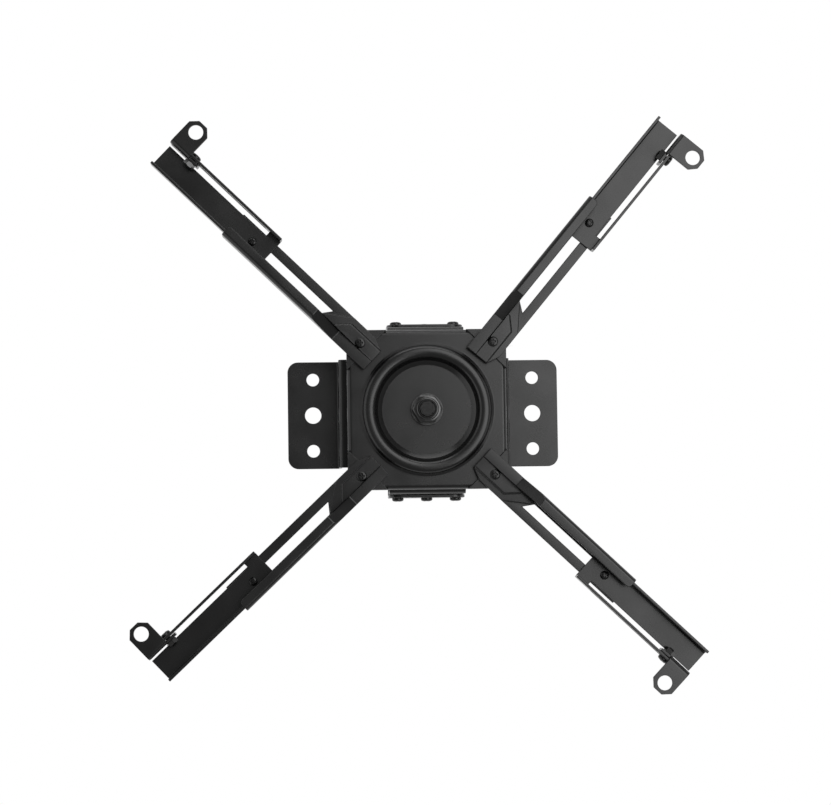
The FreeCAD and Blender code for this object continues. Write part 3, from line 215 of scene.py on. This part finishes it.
screw_steel = blackened_steel("black_oxide_steel", "#2b2b2b", "#3a3a3a", 0.22, 0.9)
nut_steel = blackened_steel("black_zinc_steel", "#474747", "#585858", 0.20, 1.0)
print("steel finishes:", screw_steel.name, nut_steel.name)

# %% [markdown]
# The friction disc above the plate and the ring in the lock nut are moulded nylon: dull, with the
# fine grain of the mould. That grain is drawn at 0.4 mm, coarser than the real one, so that it
# shows at all. A plain shader without it would look like wax.

# %% Nylon
MOULD_GRAIN = 0.4 * MM


def moulded_nylon():
    material, tree = new_material("moulded_nylon")
    place = add(tree, "ShaderNodeTexCoord")
    grain = add(tree, "ShaderNodeTexNoise", Vector=(place, "Object"), Scale=1 / MOULD_GRAIN, Detail=2.0)
    rough = add(tree, "ShaderNodeBump", Strength=0.1, Distance=0.05 * MM, Height=(grain, "Fac"))
    gloss = add(
        tree, "ShaderNodeMapRange", Value=(grain, "Fac"), n1=NOISE_LOW, n2=NOISE_HIGH, n3=0.45, n4=0.55,
    )
    skin = add(
        tree, "ShaderNodeBsdfPrincipled", Base_Color=linear("#121212"), Roughness=(gloss, "Result"),
        Normal=(rough, "Normal"), IOR=1.53,
    )
    add(tree, "ShaderNodeOutputMaterial", Surface=(skin, "BSDF"))
    return material


nylon = moulded_nylon()
print("nodes in the nylon:", len(nylon.node_tree.nodes))

# %% [markdown]
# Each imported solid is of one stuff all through, so it gets one finish. The record names a slot for
# every solid, and reading it there keeps this list and the record from drifting apart.

# %% Give each solid its finish
finish_of_slot = {
    "powder_coat": coat,
    "screw_steel": screw_steel,
    "nut_steel": nut_steel,
    "lock_nut": nut_steel,
    "nylon": nylon,
}
for part in frame["record"]["subparts"]:
    mesh = nodes[part["node"]].data
    mesh.materials.clear()
    mesh.materials.append(finish_of_slot[part["material_slot"]])

# %% [markdown]
# A folded sheet never has a knife edge: the shear rounds it a little and the coating rounds it
# more. That thin rounded line catches the light and tells the eye how thick the sheet is. It could
# be modelled in the solids, at a great cost in faces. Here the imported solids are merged, their flat
# facets are joined, and a bevel of 0.3 mm is laid on every sharp edge, or 0.45 mm on the pressed
# inner arms. Weighted normals then keep the flat faces flat.

# %% Soft edges
SHEET_EDGE, PRESSED_EDGE, WASHER_EDGE, DISC_EDGE = 0.30 * MM, 0.45 * MM, 0.25 * MM, 0.4 * MM
SAME_POINT = 0.004 * MM
FLAT, SHARP = math.radians(0.4), math.radians(28)


def soften(node, width, steps=2):
    """Modifiers only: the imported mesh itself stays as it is."""
    piece = nodes[node]
    weld = piece.modifiers.new("merge", "WELD")
    weld.merge_threshold = SAME_POINT
    flat = piece.modifiers.new("flat_faces", "DECIMATE")
    flat.decimate_type = "DISSOLVE"
    flat.angle_limit = FLAT
    edge = piece.modifiers.new("edge", "BEVEL")
    edge.width = width
    edge.segments = steps
    edge.limit_method = "ANGLE"
    edge.angle_limit = SHARP
    edge.use_clamp_overlap = False
    edge.loop_slide = False
    shade = piece.modifiers.new("shade", "WEIGHTED_NORMAL")
    shade.weight = 80


sheet_nodes = [part["node"] for part in frame["record"]["subparts"] if part["material_slot"] == "powder_coat"]
for node in sheet_nodes:
    soften(node, PRESSED_EDGE if node.startswith("inner_arm") else SHEET_EDGE)
soften("swivel_washer", WASHER_EDGE)
soften("friction_disc", DISC_EDGE)
print("softened nodes:", len(sheet_nodes) + 2)

# %% [markdown]
# The fasteners are drawn anew, because a plain cylinder has no dome, recess or thread. Cutting
# those with booleans leaves ragged faces, so each fastener is one skin: rows of points that run
# round the axis, from the middle of the head to the middle of the tip. A helper turns the stacked
# rows into a closed mesh. A nut is a ring, so its last row meets its first.

# %% Skins
ROUND = 72
TURN = np.linspace(0, 2 * math.pi, ROUND, endpoint=False)[None, :]
FLAT_RING = np.stack([np.cos(TURN), np.sin(TURN), 0 * TURN], axis=-1)
ALONG = np.array([0.0, 0.0, 1.0])
CREASE = math.radians(40)


def rows_at(profile):
    """Rows of a turned shape: each pair (r, z) of the profile gives the circle of radius r at height z."""
    profile = np.array(profile)
    return profile[:, :1, None] * FLAT_RING + profile[:, 1:, None] * ALONG


def skin_mesh(name, skins, finish, body, replaced=(), ring=False):
    """Quads between neighbouring rows; the end rows are shut by one face each, or meet in a ring."""
    points, faces, start = [], [], 0
    for skin in skins:
        rows, around = skin.shape[:2]
        index = start + np.arange(rows * around).reshape(rows, around)
        above = np.roll(index, -1, axis=0) if ring else index[1:]
        below = index if ring else index[:-1]
        corners = [below, above, np.roll(above, -1, axis=1), np.roll(below, -1, axis=1)]
        faces += np.stack(corners, axis=-1).reshape(-1, 4).tolist()
        if not ring:
            faces += [index[0].tolist(), index[-1, ::-1].tolist()]
        points.append(skin.reshape(-1, 3))
        start += rows * around
    mesh = bpy.data.meshes.new(name)
    mesh.from_pydata(np.concatenate(points), [], faces)
    shell = bmesh.new()
    shell.from_mesh(mesh)
    bmesh.ops.recalc_face_normals(shell, faces=shell.faces)
    shell.to_mesh(mesh)
    shell.free()
    mesh.polygons.foreach_set("use_smooth", np.ones(len(mesh.polygons), dtype=bool))
    mesh.set_sharp_from_angle(angle=CREASE)
    mesh.materials.append(finish)
    piece = bpy.data.objects.new(name, mesh)
    bpy.context.scene.collection.objects.link(piece)
    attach(piece, body)
    if replaced:
        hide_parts(*replaced)
    return piece


print("points round a turned piece:", ROUND)

# %% [markdown]
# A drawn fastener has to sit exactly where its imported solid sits. Its place could be typed in
# again, but then it would stay behind when the model changes. So places come from the joints of
# the frame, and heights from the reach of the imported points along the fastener's own axis.

# %% Seats
joint_named = {joint["name"]: joint for joint in frame["joints"]}
ARMS = range(1, 5)


def set_along(skin, seat, axis):
    """Turns a skin drawn about z so that z runs along axis, and moves its z = 0 to the seat."""
    turn = np.array(Vector((0, 0, 1)).rotation_difference(Vector(axis)).to_matrix())
    return skin @ turn.T + np.array(seat)


def span(node, axis):
    """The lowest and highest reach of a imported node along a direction, from its points."""
    mesh = nodes[node].data
    points = np.empty(len(mesh.vertices) * 3)
    mesh.vertices.foreach_get("co", points)
    reach = points.reshape(-1, 3) @ np.array(axis)
    return reach.min(), reach.max()


def pivot_place(number):
    """Where an arm's pivot stands in plan, from its joint."""
    across, along, _ = joint_named[f"arm_{number}_turn"]["pos_m"]
    return across, along


def foot_seat(number, node):
    """The direction across a foot's flange, the node's reach along it, and its middle in the others."""
    out = np.array(joint_named[f"foot_{number}_slide"]["axis"])
    beside = np.array([-out[1], out[0], 0])
    low, high = span(node, beside)
    middle = sum(span(node, out)) / 2 * out + sum(span(node, ALONG)) / 2 * ALONG
    return beside, low, high, middle


TILT_DEPTH = joint_named["tilt"]["pos_m"][2]
print("tilt axis below the ceiling, in metres:", round(-TILT_DEPTH, 4))

# %% [markdown]
# A screw's thread is a V that climbs one pitch a turn, and its tip is cut back to a cone. A screw
# modifier could sweep a V along a helix, but it would leave open ends. Here the radius is a
# function of turn and height, so the thread, its run-out and its tip are one closed skin.

# %% Threads
THREAD_DEPTH, TIP_CONE, ROWS_PER_PITCH = 0.55, 0.6, 8


def smooth_step(value):
    """0 below zero, 1 above one, and 3v^2 - 2v^3 between."""
    value = np.clip(value, 0, 1)
    return value * value * (3 - 2 * value)


def thread_rows(radius, pitch, start, end):
    """Radius at turn a, height z: radius - 0.55 pitch |2 frac(z / pitch - a / 2 pi) - 1|, cone at the tip."""
    height = np.linspace(start, end, max(8, int((end - start) / pitch * ROWS_PER_PITCH)))[:, None]
    climb = np.abs(2 * np.mod(height / pitch - TURN / (2 * math.pi), 1) - 1)
    reach = radius - THREAD_DEPTH * pitch * climb * smooth_step((height - start) / pitch)
    reach = np.minimum(reach, radius - TIP_CONE * pitch + (end - height))
    return reach[..., None] * FLAT_RING + height[..., None] * ALONG


print("thread depth of a 0.7 mm pitch, in millimetres:", round(THREAD_DEPTH * 0.7, 3))

# %% [markdown]
# A pan head is nearly flat on top and rolls over at its rim. Its cross recess is struck into it,
# and could be cut out with a boolean. It is a dent in the same surface instead: two slots, each a
# band about an axis, faded out at its walls and ends, which keeps the skin closed.

# %% Pan heads
RIM_SHARE, CROWN_SHARE, FLATNESS = 0.4, 0.6, 3.4


def pan_head(head, rise, cross):
    """z = -rise (0.4 + 0.6 sqrt(1 - (r/R)^3.4)), less the cross, where cross is (span, width, depth)."""
    long_way, width, depth = cross
    fraction = np.sin(np.linspace(0.004, math.pi / 2, 44))[:, None]
    reach = head * fraction
    across, up = np.abs(reach * np.cos(TURN)), np.abs(reach * np.sin(TURN))
    narrow, far = np.minimum(across, up), np.maximum(across, up)
    band = smooth_step((width / 2 - narrow) / (0.25 * width) + 0.5)
    ends = smooth_step((long_way / 2 - far) / (0.5 * width) + 0.5)
    height = -rise * (RIM_SHARE + CROWN_SHARE * np.sqrt(1 - fraction ** FLATNESS)) + depth * band * ends
    crown = reach[..., None] * FLAT_RING + height[..., None] * ALONG
    return np.concatenate([crown, rows_at([(head, -0.2 * rise), (head, -0.05 * rise), (head * 0.985, 0)])])


def screw_skin(head, rise, shank, length, pitch, cross):
    """A pan head above z = 0 and a thread below it, down to the length."""
    under = rows_at([(shank * 1.02, 0), (shank, 0.02 * rise)])
    return np.concatenate([pan_head(head, rise, cross), under, thread_rows(shank, pitch, 0.1 * rise, length)])


HEAD, HEAD_RISE, SHANK, PITCH = 3.8 * MM, 2.3 * MM, 2.0 * MM, 0.7 * MM
CROSS = (4.4 * MM, 1.15 * MM, 1.2 * MM)
print("an M4 head is this wide, in millimetres:", round(2 * HEAD / MM, 1))

# %% [markdown]
# Two screws beside each tilt pin lock the tilt. They pass from outside through the curved slots
# into nuts inside the frame. The pin on the lower tab has the same head on a thicker, plain shank,
# drawn with so fine a pitch that it reads as smooth. One function with other sizes makes both.

# %% Tilt screws
lock_reach = span("tilt_lock_screws", (1, 0, 0))[1] - HEAD
lock_face = span("tilt_lock_screws", (0, 1, 0))[1] - HEAD_RISE
nut_high = span("tilt_lock_nuts", (0, 1, 0))[1]
NUT_REACH = 4.0 * MM
lock_length = lock_face - (nut_high - NUT_REACH)
lock_places = [(side, across) for side in (1, -1) for across in (lock_reach, -lock_reach)]
skins = []
for side, across in lock_places:
    skin = screw_skin(HEAD, HEAD_RISE, SHANK, lock_length, PITCH, CROSS)
    skins.append(set_along(skin, (across, side * lock_face, TILT_DEPTH), (0, -side, 0)))
skin_mesh("tilt_lock_screw_threads", skins, screw_steel, "tilt", ["tilt_lock_screws"])

PIN, PIN_PITCH = 3.0 * MM, 0.4 * MM
low, high = span("tilt_pivot_screw", (0, 1, 0))
skin = screw_skin(HEAD, HEAD_RISE, PIN, high - HEAD_RISE - low, PIN_PITCH, CROSS)
skins = [set_along(skin, (0, high - HEAD_RISE, TILT_DEPTH), (0, -1, 0))]
skin_mesh("tilt_pivot_screw_head", skins, screw_steel, "tilt", ["tilt_pivot_screw"])
print("lock screw under its head, in millimetres:", round(lock_length / MM, 1))

# %% [markdown]
# Each arm turns on a small screw whose low head shows from below. They could be four objects, but
# all of them ride the plate, so they are four skins in one piece.

# %% Arm pivot screws
PIVOT_HEAD, PIVOT_RISE = 3.3 * MM, 1.5 * MM
PIVOT_CROSS = (3.4 * MM, 0.9 * MM, 0.9 * MM)
low, high = span("arm_pivot_screws", (0, 0, 1))
skins = []
for number in ARMS:
    across, along = pivot_place(number)
    skin = screw_skin(PIVOT_HEAD, PIVOT_RISE, SHANK, high - low - PIVOT_RISE, PITCH, PIVOT_CROSS)
    skins.append(set_along(skin, (across, along, low + PIVOT_RISE), (0, 0, 1)))
skin_mesh("arm_pivot_screw_heads", skins, screw_steel, "plate", ["arm_pivot_screws"])
print("arm pivot screws:", len(skins))

# %% [markdown]
# The smallest screws clamp each outer arm in the long slot. Each moves with its own arm, so each
# is a piece by itself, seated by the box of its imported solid.

# %% Clamp screws
CLAMP_HEAD, CLAMP_RISE, CLAMP_SHANK, CLAMP_PITCH = 2.8 * MM, 2.0 * MM, 1.5 * MM, 0.5 * MM
CLAMP_CROSS = (3.2 * MM, 0.85 * MM, 0.9 * MM)
for number in ARMS:
    node = f"extension_screw_{number}"
    low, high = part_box(node)
    middle = (low + high) / 2
    length = high[2] - low[2] - CLAMP_RISE
    skin = screw_skin(CLAMP_HEAD, CLAMP_RISE, CLAMP_SHANK, length, CLAMP_PITCH, CLAMP_CROSS)
    skins = [set_along(skin, (middle[0], middle[1], low[2] + CLAMP_RISE), (0, 0, 1))]
    skin_mesh(f"{node}_head", skins, screw_steel, f"extension_{number}", [node])
print("clamp screw under its head, in millimetres:", round(length / MM, 1))

# %% [markdown]
# A screw lies across the flange of each foot. Its axis turns with the arm, so its seat is measured
# along the direction across that arm's slide.

# %% Foot screws
for number in ARMS:
    node = f"foot_screw_{number}"
    beside, low, high, middle = foot_seat(number, node)
    skin = screw_skin(HEAD, HEAD_RISE, SHANK, high - low - HEAD_RISE, PITCH, CROSS)
    skins = [set_along(skin, middle + (high - HEAD_RISE) * beside, -beside)]
    skin_mesh(f"{node}_head", skins, screw_steel, f"foot_{number}", [node])
print("foot screw under its head, in millimetres:", round((high - low - HEAD_RISE) / MM, 1))

# %% [markdown]
# A hexagon nut is a prism whose corners are turned off by a thirty-degree cone, which leaves the
# round bearing face and the curved corners that every nut shows. A boolean with a cone would do
# it. Here the radius is a function of the angle, and the cone gives the height at which each
# corner starts, which needs far fewer faces.

# %% Hexagons
BEARING, CORNER_CONE, MOUTH = 0.475, math.radians(30), 0.1 * MM


def hexagon_radius(flats):
    """Centre to the edge of a hexagon: (flats / 2) / cos(distance in angle from the middle of a flat)."""
    from_flat = np.mod(TURN + math.pi / 6, math.pi / 3) - math.pi / 6
    return flats / 2 / np.cos(from_flat)


def hexagon_rows(flats, low, high, chamfer_low=True):
    """Bearing circle, turned corner, side, turned corner and bearing circle of a hexagon."""
    corner = hexagon_radius(flats)
    bearing = BEARING * flats + 0 * corner
    drop = (corner - bearing) * math.tan(CORNER_CONE)
    stations = [(corner, high - drop), (bearing, high + 0 * corner)]
    if chamfer_low:
        stations = [(bearing, low + 0 * corner), (corner, low + drop)] + stations
    else:
        stations = [(corner, low + 0 * corner)] + stations
    rows = [reach[..., None] * FLAT_RING + height[..., None] * ALONG for reach, height in stations]
    return np.concatenate(rows)


def nut_skin(flats, height, bore):
    """The bore from top to bottom, then the outside back up: a ring of rows."""
    inside = rows_at([(bore, height - MOUTH), (bore, MOUTH)])
    return np.concatenate([inside, hexagon_rows(flats, 0, height)])


NUT_FLATS, NUT_HEIGHT = 7.0 * MM, 3.2 * MM
print("across the corners of an M4 nut, in millimetres:", round(2 * hexagon_radius(NUT_FLATS).max() / MM, 2))

# %% [markdown]
# The plain nuts sit inside the tilt frame, above the plate's corners and behind the feet. All of
# them are the same nut, turned to its screw's axis, so one function draws them all.

# %% Plain nuts
skins = []
for side, across in lock_places:
    skin = nut_skin(NUT_FLATS, NUT_HEIGHT, SHANK)
    skins.append(set_along(skin, (across, side * nut_high, TILT_DEPTH), (0, -side, 0)))
skin_mesh("tilt_lock_nut_hexagons", skins, nut_steel, "tilt", ["tilt_lock_nuts"], ring=True)

low, high = span("arm_pivot_nuts", (0, 0, 1))
skins = []
for number in ARMS:
    across, along = pivot_place(number)
    skins.append(set_along(nut_skin(NUT_FLATS, NUT_HEIGHT, SHANK), (across, along, low), (0, 0, 1)))
skin_mesh("arm_pivot_nut_hexagons", skins, nut_steel, "plate", ["arm_pivot_nuts"], ring=True)

for number in ARMS:
    node = f"foot_nut_{number}"
    beside, low, high, middle = foot_seat(number, node)
    skins = [set_along(nut_skin(NUT_FLATS, NUT_HEIGHT, SHANK), middle + high * beside, -beside)]
    skin_mesh(f"{node}_hexagon", skins, nut_steel, f"foot_{number}", [node], ring=True)
print("plain nuts:", len(lock_places) + 2 * len(ARMS))

# %% [markdown]
# The nuts that clamp the outer arms have a wide flange under a small hexagon, so that they bridge
# the slot. The flange's rim is rounded by three rows, and the hexagon's lower end, which meets the
# flange, has no chamfer.

# %% Flanged nuts
FLANGE, FLANGE_HEIGHT, CLAMP_FLATS = 5.0 * MM, 1.0 * MM, 5.5 * MM
for number in ARMS:
    node = f"extension_nut_{number}"
    low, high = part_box(node)
    middle = (low + high) / 2
    height = high[2] - low[2]
    inside = rows_at([(CLAMP_SHANK, height - MOUTH), (CLAMP_SHANK, MOUTH), (CLAMP_SHANK * 1.1, 0)])
    flange = rows_at([(FLANGE * 0.97, 0), (FLANGE, 0.2 * MM), (FLANGE * 0.98, 0.6 * FLANGE_HEIGHT)])
    hexagon = hexagon_rows(CLAMP_FLATS, FLANGE_HEIGHT, height, chamfer_low=False)
    skins = [set_along(np.concatenate([inside, flange, hexagon]), (middle[0], middle[1], low[2]), (0, 0, 1))]
    skin_mesh(f"{node}_flanged", skins, nut_steel, f"extension_{number}", [node], ring=True)
print("flanged nuts:", len(ARMS), "height in millimetres:", round(height / MM, 1))

# %% [markdown]
# The swivel joint is what the eye goes to. A carriage bolt comes down through the frame: a low
# mushroom head, a square neck that can't turn, and an M10 thread of 1.5 mm pitch. The neck is the
# circle's row pushed out to a square, so the whole bolt is still one skin.

# %% Swivel bolt
BOLT, BOLT_PITCH, BOLT_HEAD, BOLT_RISE, NECK = 5.0 * MM, 1.5 * MM, 11.0 * MM, 4.5 * MM, 2.0 * MM
low, high = span("swivel_bolt", (0, 0, 1))
fraction = np.linspace(0.01, 1, 24)
dome = np.stack([BOLT_HEAD * fraction, -BOLT_RISE * (0.18 + 0.82 * np.sqrt(1 - fraction ** 2))], axis=-1)
square = BOLT / np.cos(np.mod(TURN + math.pi / 4, math.pi / 2) - math.pi / 4)
neck = [square[..., None] * FLAT_RING + height * ALONG for height in (0.01 * MM, NECK)]
bolt = np.concatenate(
    [
        rows_at(dome),
        rows_at([(BOLT_HEAD * 0.99, -0.03 * BOLT_RISE), (BOLT_HEAD * 0.97, 0)]),
        *neck,
        thread_rows(BOLT, BOLT_PITCH, NECK + 0.02 * MM, high - BOLT_RISE - low),
    ]
)
skins = [set_along(bolt, (0, 0, high - BOLT_RISE), (0, 0, -1))]
skin_mesh("swivel_bolt_thread", skins, screw_steel, "tilt", ["swivel_bolt"])
print("turns of thread on the bolt:", round((high - BOLT_RISE - low - NECK) / BOLT_PITCH, 1))

# %% [markdown]
# The lock nut on that bolt has a hexagon and, above it, a collar that is rolled in over a nylon
# ring: the dark band round the stud. The roll is a quarter circle from the collar's side to its
# lip, and the ring is a small closed section turned about the bolt.

# %% Lock nut and its nylon ring
LOCK_FLATS, LOCK_HEIGHT, COLLAR, COLLAR_LIP = 17.0 * MM, 7.4 * MM, 7.3 * MM, 6.3 * MM
ROLL_DEPTH, RING_DEPTH, RING_HALF = 1.1 * MM, 1.0 * MM, 0.6 * MM
low, high = span("swivel_nut", (0, 0, 1))
whole = high - low
roll = np.linspace(0, math.pi / 2, 6)
roll_reach = COLLAR_LIP + (COLLAR - COLLAR_LIP) * np.cos(roll)
roll_height = whole - ROLL_DEPTH * (1 - np.sin(roll))
rolled = np.stack([roll_reach, roll_height], axis=-1)
inside = rows_at(
    [
        (COLLAR_LIP * 0.98, whole - 0.25 * MM),
        (COLLAR_LIP, whole - 1.6 * MM),
        (BOLT, whole - 1.7 * MM),
        (BOLT, 0.3 * MM),
    ]
)
outside = [hexagon_rows(LOCK_FLATS, 0, LOCK_HEIGHT), rows_at([(COLLAR, LOCK_HEIGHT)]), rows_at(rolled)]
skins = [set_along(np.concatenate([inside, *outside]), (0, 0, high), (0, 0, -1))]
skin_mesh("swivel_lock_nut", skins, nut_steel, "tilt", ["swivel_nut"], ring=True)

bulge = np.linspace(0, 2 * math.pi, 16, endpoint=False)
ring_middle, ring_half = (COLLAR_LIP + BOLT) / 2, (COLLAR_LIP - BOLT) / 2
ring_reach = ring_middle + ring_half * np.cos(bulge)
ring_height = whole - RING_DEPTH + RING_HALF * np.sin(bulge)
skins = [set_along(rows_at(np.stack([ring_reach, ring_height], axis=-1)), (0, 0, high), (0, 0, -1))]
skin_mesh("swivel_nylon_ring", skins, nylon, "tilt", ring=True)
print("lock nut height in millimetres:", round(whole / MM, 1))

# %% [markdown]
# The pin on the upper tab is a rivet: a plain shank with a low dome at both ends. It is turned
# from one profile, dome, shank and mirrored dome.

# %% Tilt rivet
RIVET_HEAD, RIVET_RISE, RIVET_PIN = 3.8 * MM, 0.8 * MM, 3.0 * MM
low, high = span("tilt_pivot_rivet", (0, 1, 0))
fraction = np.sin(np.linspace(0.02, math.pi / 2, 16))
dome = np.stack([RIVET_HEAD * fraction, -RIVET_RISE * np.sqrt(1 - fraction ** 2)], axis=-1)
through = high - low - 2 * RIVET_RISE
far_dome = np.stack([dome[::-1, 0], through - dome[::-1, 1]], axis=-1)
rivet = np.concatenate([rows_at(dome), rows_at([(RIVET_PIN, 0), (RIVET_PIN, through)]), rows_at(far_dome)])
skins = [set_along(rivet, (0, low + RIVET_RISE, TILT_DEPTH), (0, 1, 0))]
skin_mesh("tilt_pivot_rivet_heads", skins, screw_steel, "tilt", ["tilt_pivot_rivet"])
print("rivet between its heads, in millimetres:", round(through / MM, 1))

# %% [markdown]
# The raised bead of the arm plate is pressed in one stroke, so its section has no corner: the dish
# floor turns up in a hollow curve, runs over a round crest and turns out into the plate. A wide
# bevel on the solid would round every other edge of the plate as well. So a thin skin lies
# 0.04 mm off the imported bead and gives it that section. Each corner of the section is rounded by
# a curve that leaves both of its lines at one distance from the corner.

# %% Bead skin


def rounded(corners, cuts, steps=9):
    """A polyline whose corner c becomes the curve (1-t)^2 a + 2t(1-t) c + t^2 b.

    The points a and b lie on the two lines, a cut away from the corner, or half a line at most.
    """
    corners = np.array(corners)
    line = [corners[:1]]
    t = np.linspace(0, 1, steps)[:, None]
    for before, corner, after, cut in zip(corners, corners[1:], corners[2:], cuts):
        back, ahead = before - corner, after - corner
        a = corner + back * min(0.5, cut / np.linalg.norm(back))
        b = corner + ahead * min(0.5, cut / np.linalg.norm(ahead))
        line.append((1 - t) ** 2 * a + 2 * t * (1 - t) * corner + t ** 2 * b)
    return np.concatenate(line + [corners[-1:]])


DISH_FLOOR, BEAD_CREST, PLATE_LEVEL = -57.0 * MM, -63.5 * MM, -60.0 * MM
SKIN_START, SKIN_END, LIFT = 28.6 * MM, 44.4 * MM, 0.04 * MM
BEAD_ROUND = 240
section = [
    (SKIN_START, DISH_FLOOR - LIFT), (31.2 * MM, DISH_FLOOR - LIFT), (34.4 * MM, BEAD_CREST - LIFT),
    (40.7 * MM, BEAD_CREST - LIFT), (42.3 * MM, PLATE_LEVEL - LIFT), (SKIN_END, PLATE_LEVEL - LIFT),
]
face = rounded(section, (2.4 * MM, 3.0 * MM, 3.0 * MM, 1.4 * MM))
behind = [
    (SKIN_END, PLATE_LEVEL + 0.3 * MM), (38.0 * MM, BEAD_CREST + 1.2 * MM),
    (SKIN_START, DISH_FLOOR + 0.3 * MM),
]
around = np.linspace(0, 2 * math.pi, BEAD_ROUND, endpoint=False)[None, :]
bead_ring = np.stack([np.cos(around), np.sin(around), 0 * around], axis=-1)
profile = np.concatenate([face, behind])
bead = profile[:, :1, None] * bead_ring + profile[:, 1:, None] * ALONG
skin_mesh("arm_plate_bead", [bead], coat, "plate", ring=True)
print("points across the bead's section:", len(face))

# %% [markdown]
# The mount hangs from a ceiling, so the pale floor lies far below it. The world could be an image
# of a room, but plain light is easier to judge. It is white where the camera, a reflection or a
# see-through piece sees it, and dimmer for the light that it gives.

# %% Floor and world
FLOOR_HALF, FLOOR_LEVEL = 8.0, -2.3
WORLD_LIGHT, WORLD_SEEN = 0.35, 1.0


def stage():
    mesh = bpy.data.meshes.new("floor")
    quarters = [(-1, -1), (1, -1), (1, 1), (-1, 1)]
    corners = [(x * FLOOR_HALF, y * FLOOR_HALF, FLOOR_LEVEL) for x, y in quarters]
    mesh.from_pydata(corners, [], [(0, 1, 2, 3)])
    floor = bpy.data.objects.new("floor", mesh)
    bpy.context.scene.collection.objects.link(floor)
    material, tree = new_material("pale_floor")
    paint = add(tree, "ShaderNodeBsdfPrincipled", Base_Color=linear("#d9d9d8"), Roughness=0.9)
    add(tree, "ShaderNodeOutputMaterial", Surface=(paint, "BSDF"))
    mesh.materials.append(material)


def studio_world():
    world = bpy.data.worlds.new("studio")
    bpy.context.scene.world = world
    world.use_nodes = True
    tree = world.node_tree
    tree.nodes.clear()
    ray = add(tree, "ShaderNodeLightPath")
    larger = {"operation": "MAXIMUM"}
    either = add(tree, "ShaderNodeMath", larger, n0=(ray, "Is Camera Ray"), n1=(ray, "Is Glossy Ray"))
    seen = add(tree, "ShaderNodeMath", larger, n0=(either, "Value"), n1=(ray, "Is Transmission Ray"))
    levels = {"n1": 0.0, "n2": 1.0, "n3": WORLD_LIGHT, "n4": WORLD_SEEN}
    level = add(tree, "ShaderNodeMapRange", Value=(seen, "Value"), **levels)
    glow = add(tree, "ShaderNodeBackground", Color=(1, 1, 1, 1), Strength=(level, "Result"))
    add(tree, "ShaderNodeOutputWorld", Surface=(glow, "Background"))


stage()
studio_world()
print("floor below the mount, in metres:", -FLOOR_LEVEL)

# %% [markdown]
# A black satin skin shows little but what it mirrors, and from below a flat face mirrors the room
# beside the camera. Bare lamps would give hard spots, so the light comes from soft boxes. One large
# box stands on the right, so that flat faces run from nearly black at the picture's left to mid
# grey at its right, as in the photograph. Two weak boxes draw the edges.

# %% Lamps
AIM = (0, 0, -0.06)


def soft_box(name, place, aim, width, height, watts):
    """A rectangle of light turned to aim: width runs level, height runs up and away from the aim."""
    data = bpy.data.lights.new(name, "AREA")
    data.shape = "RECTANGLE"
    data.size, data.size_y, data.energy = width, height, watts
    lamp = bpy.data.objects.new(name, data)
    bpy.context.scene.collection.objects.link(lamp)
    lamp.location = place
    lamp.rotation_mode = "QUATERNION"
    lamp.rotation_quaternion = (Vector(aim) - Vector(place)).to_track_quat("-Z", "Y")
    lamp.visible_camera = False
    return lamp


boxes = [
    soft_box("right_box", (0.60, -0.22, -1.5), AIM, 1.8, 1.0, 14),
    soft_box("top_box", (0.0, -1.3, -0.8), AIM, 1.2, 0.4, 5),
    soft_box("left_box", (-1.2, 0.0, -0.85), AIM, 2.4, 0.6, 4.5),
]
bpy.context.scene.view_settings.view_transform = "Standard"
print("light in all, in watts:", sum(box.data.energy for box in boxes))
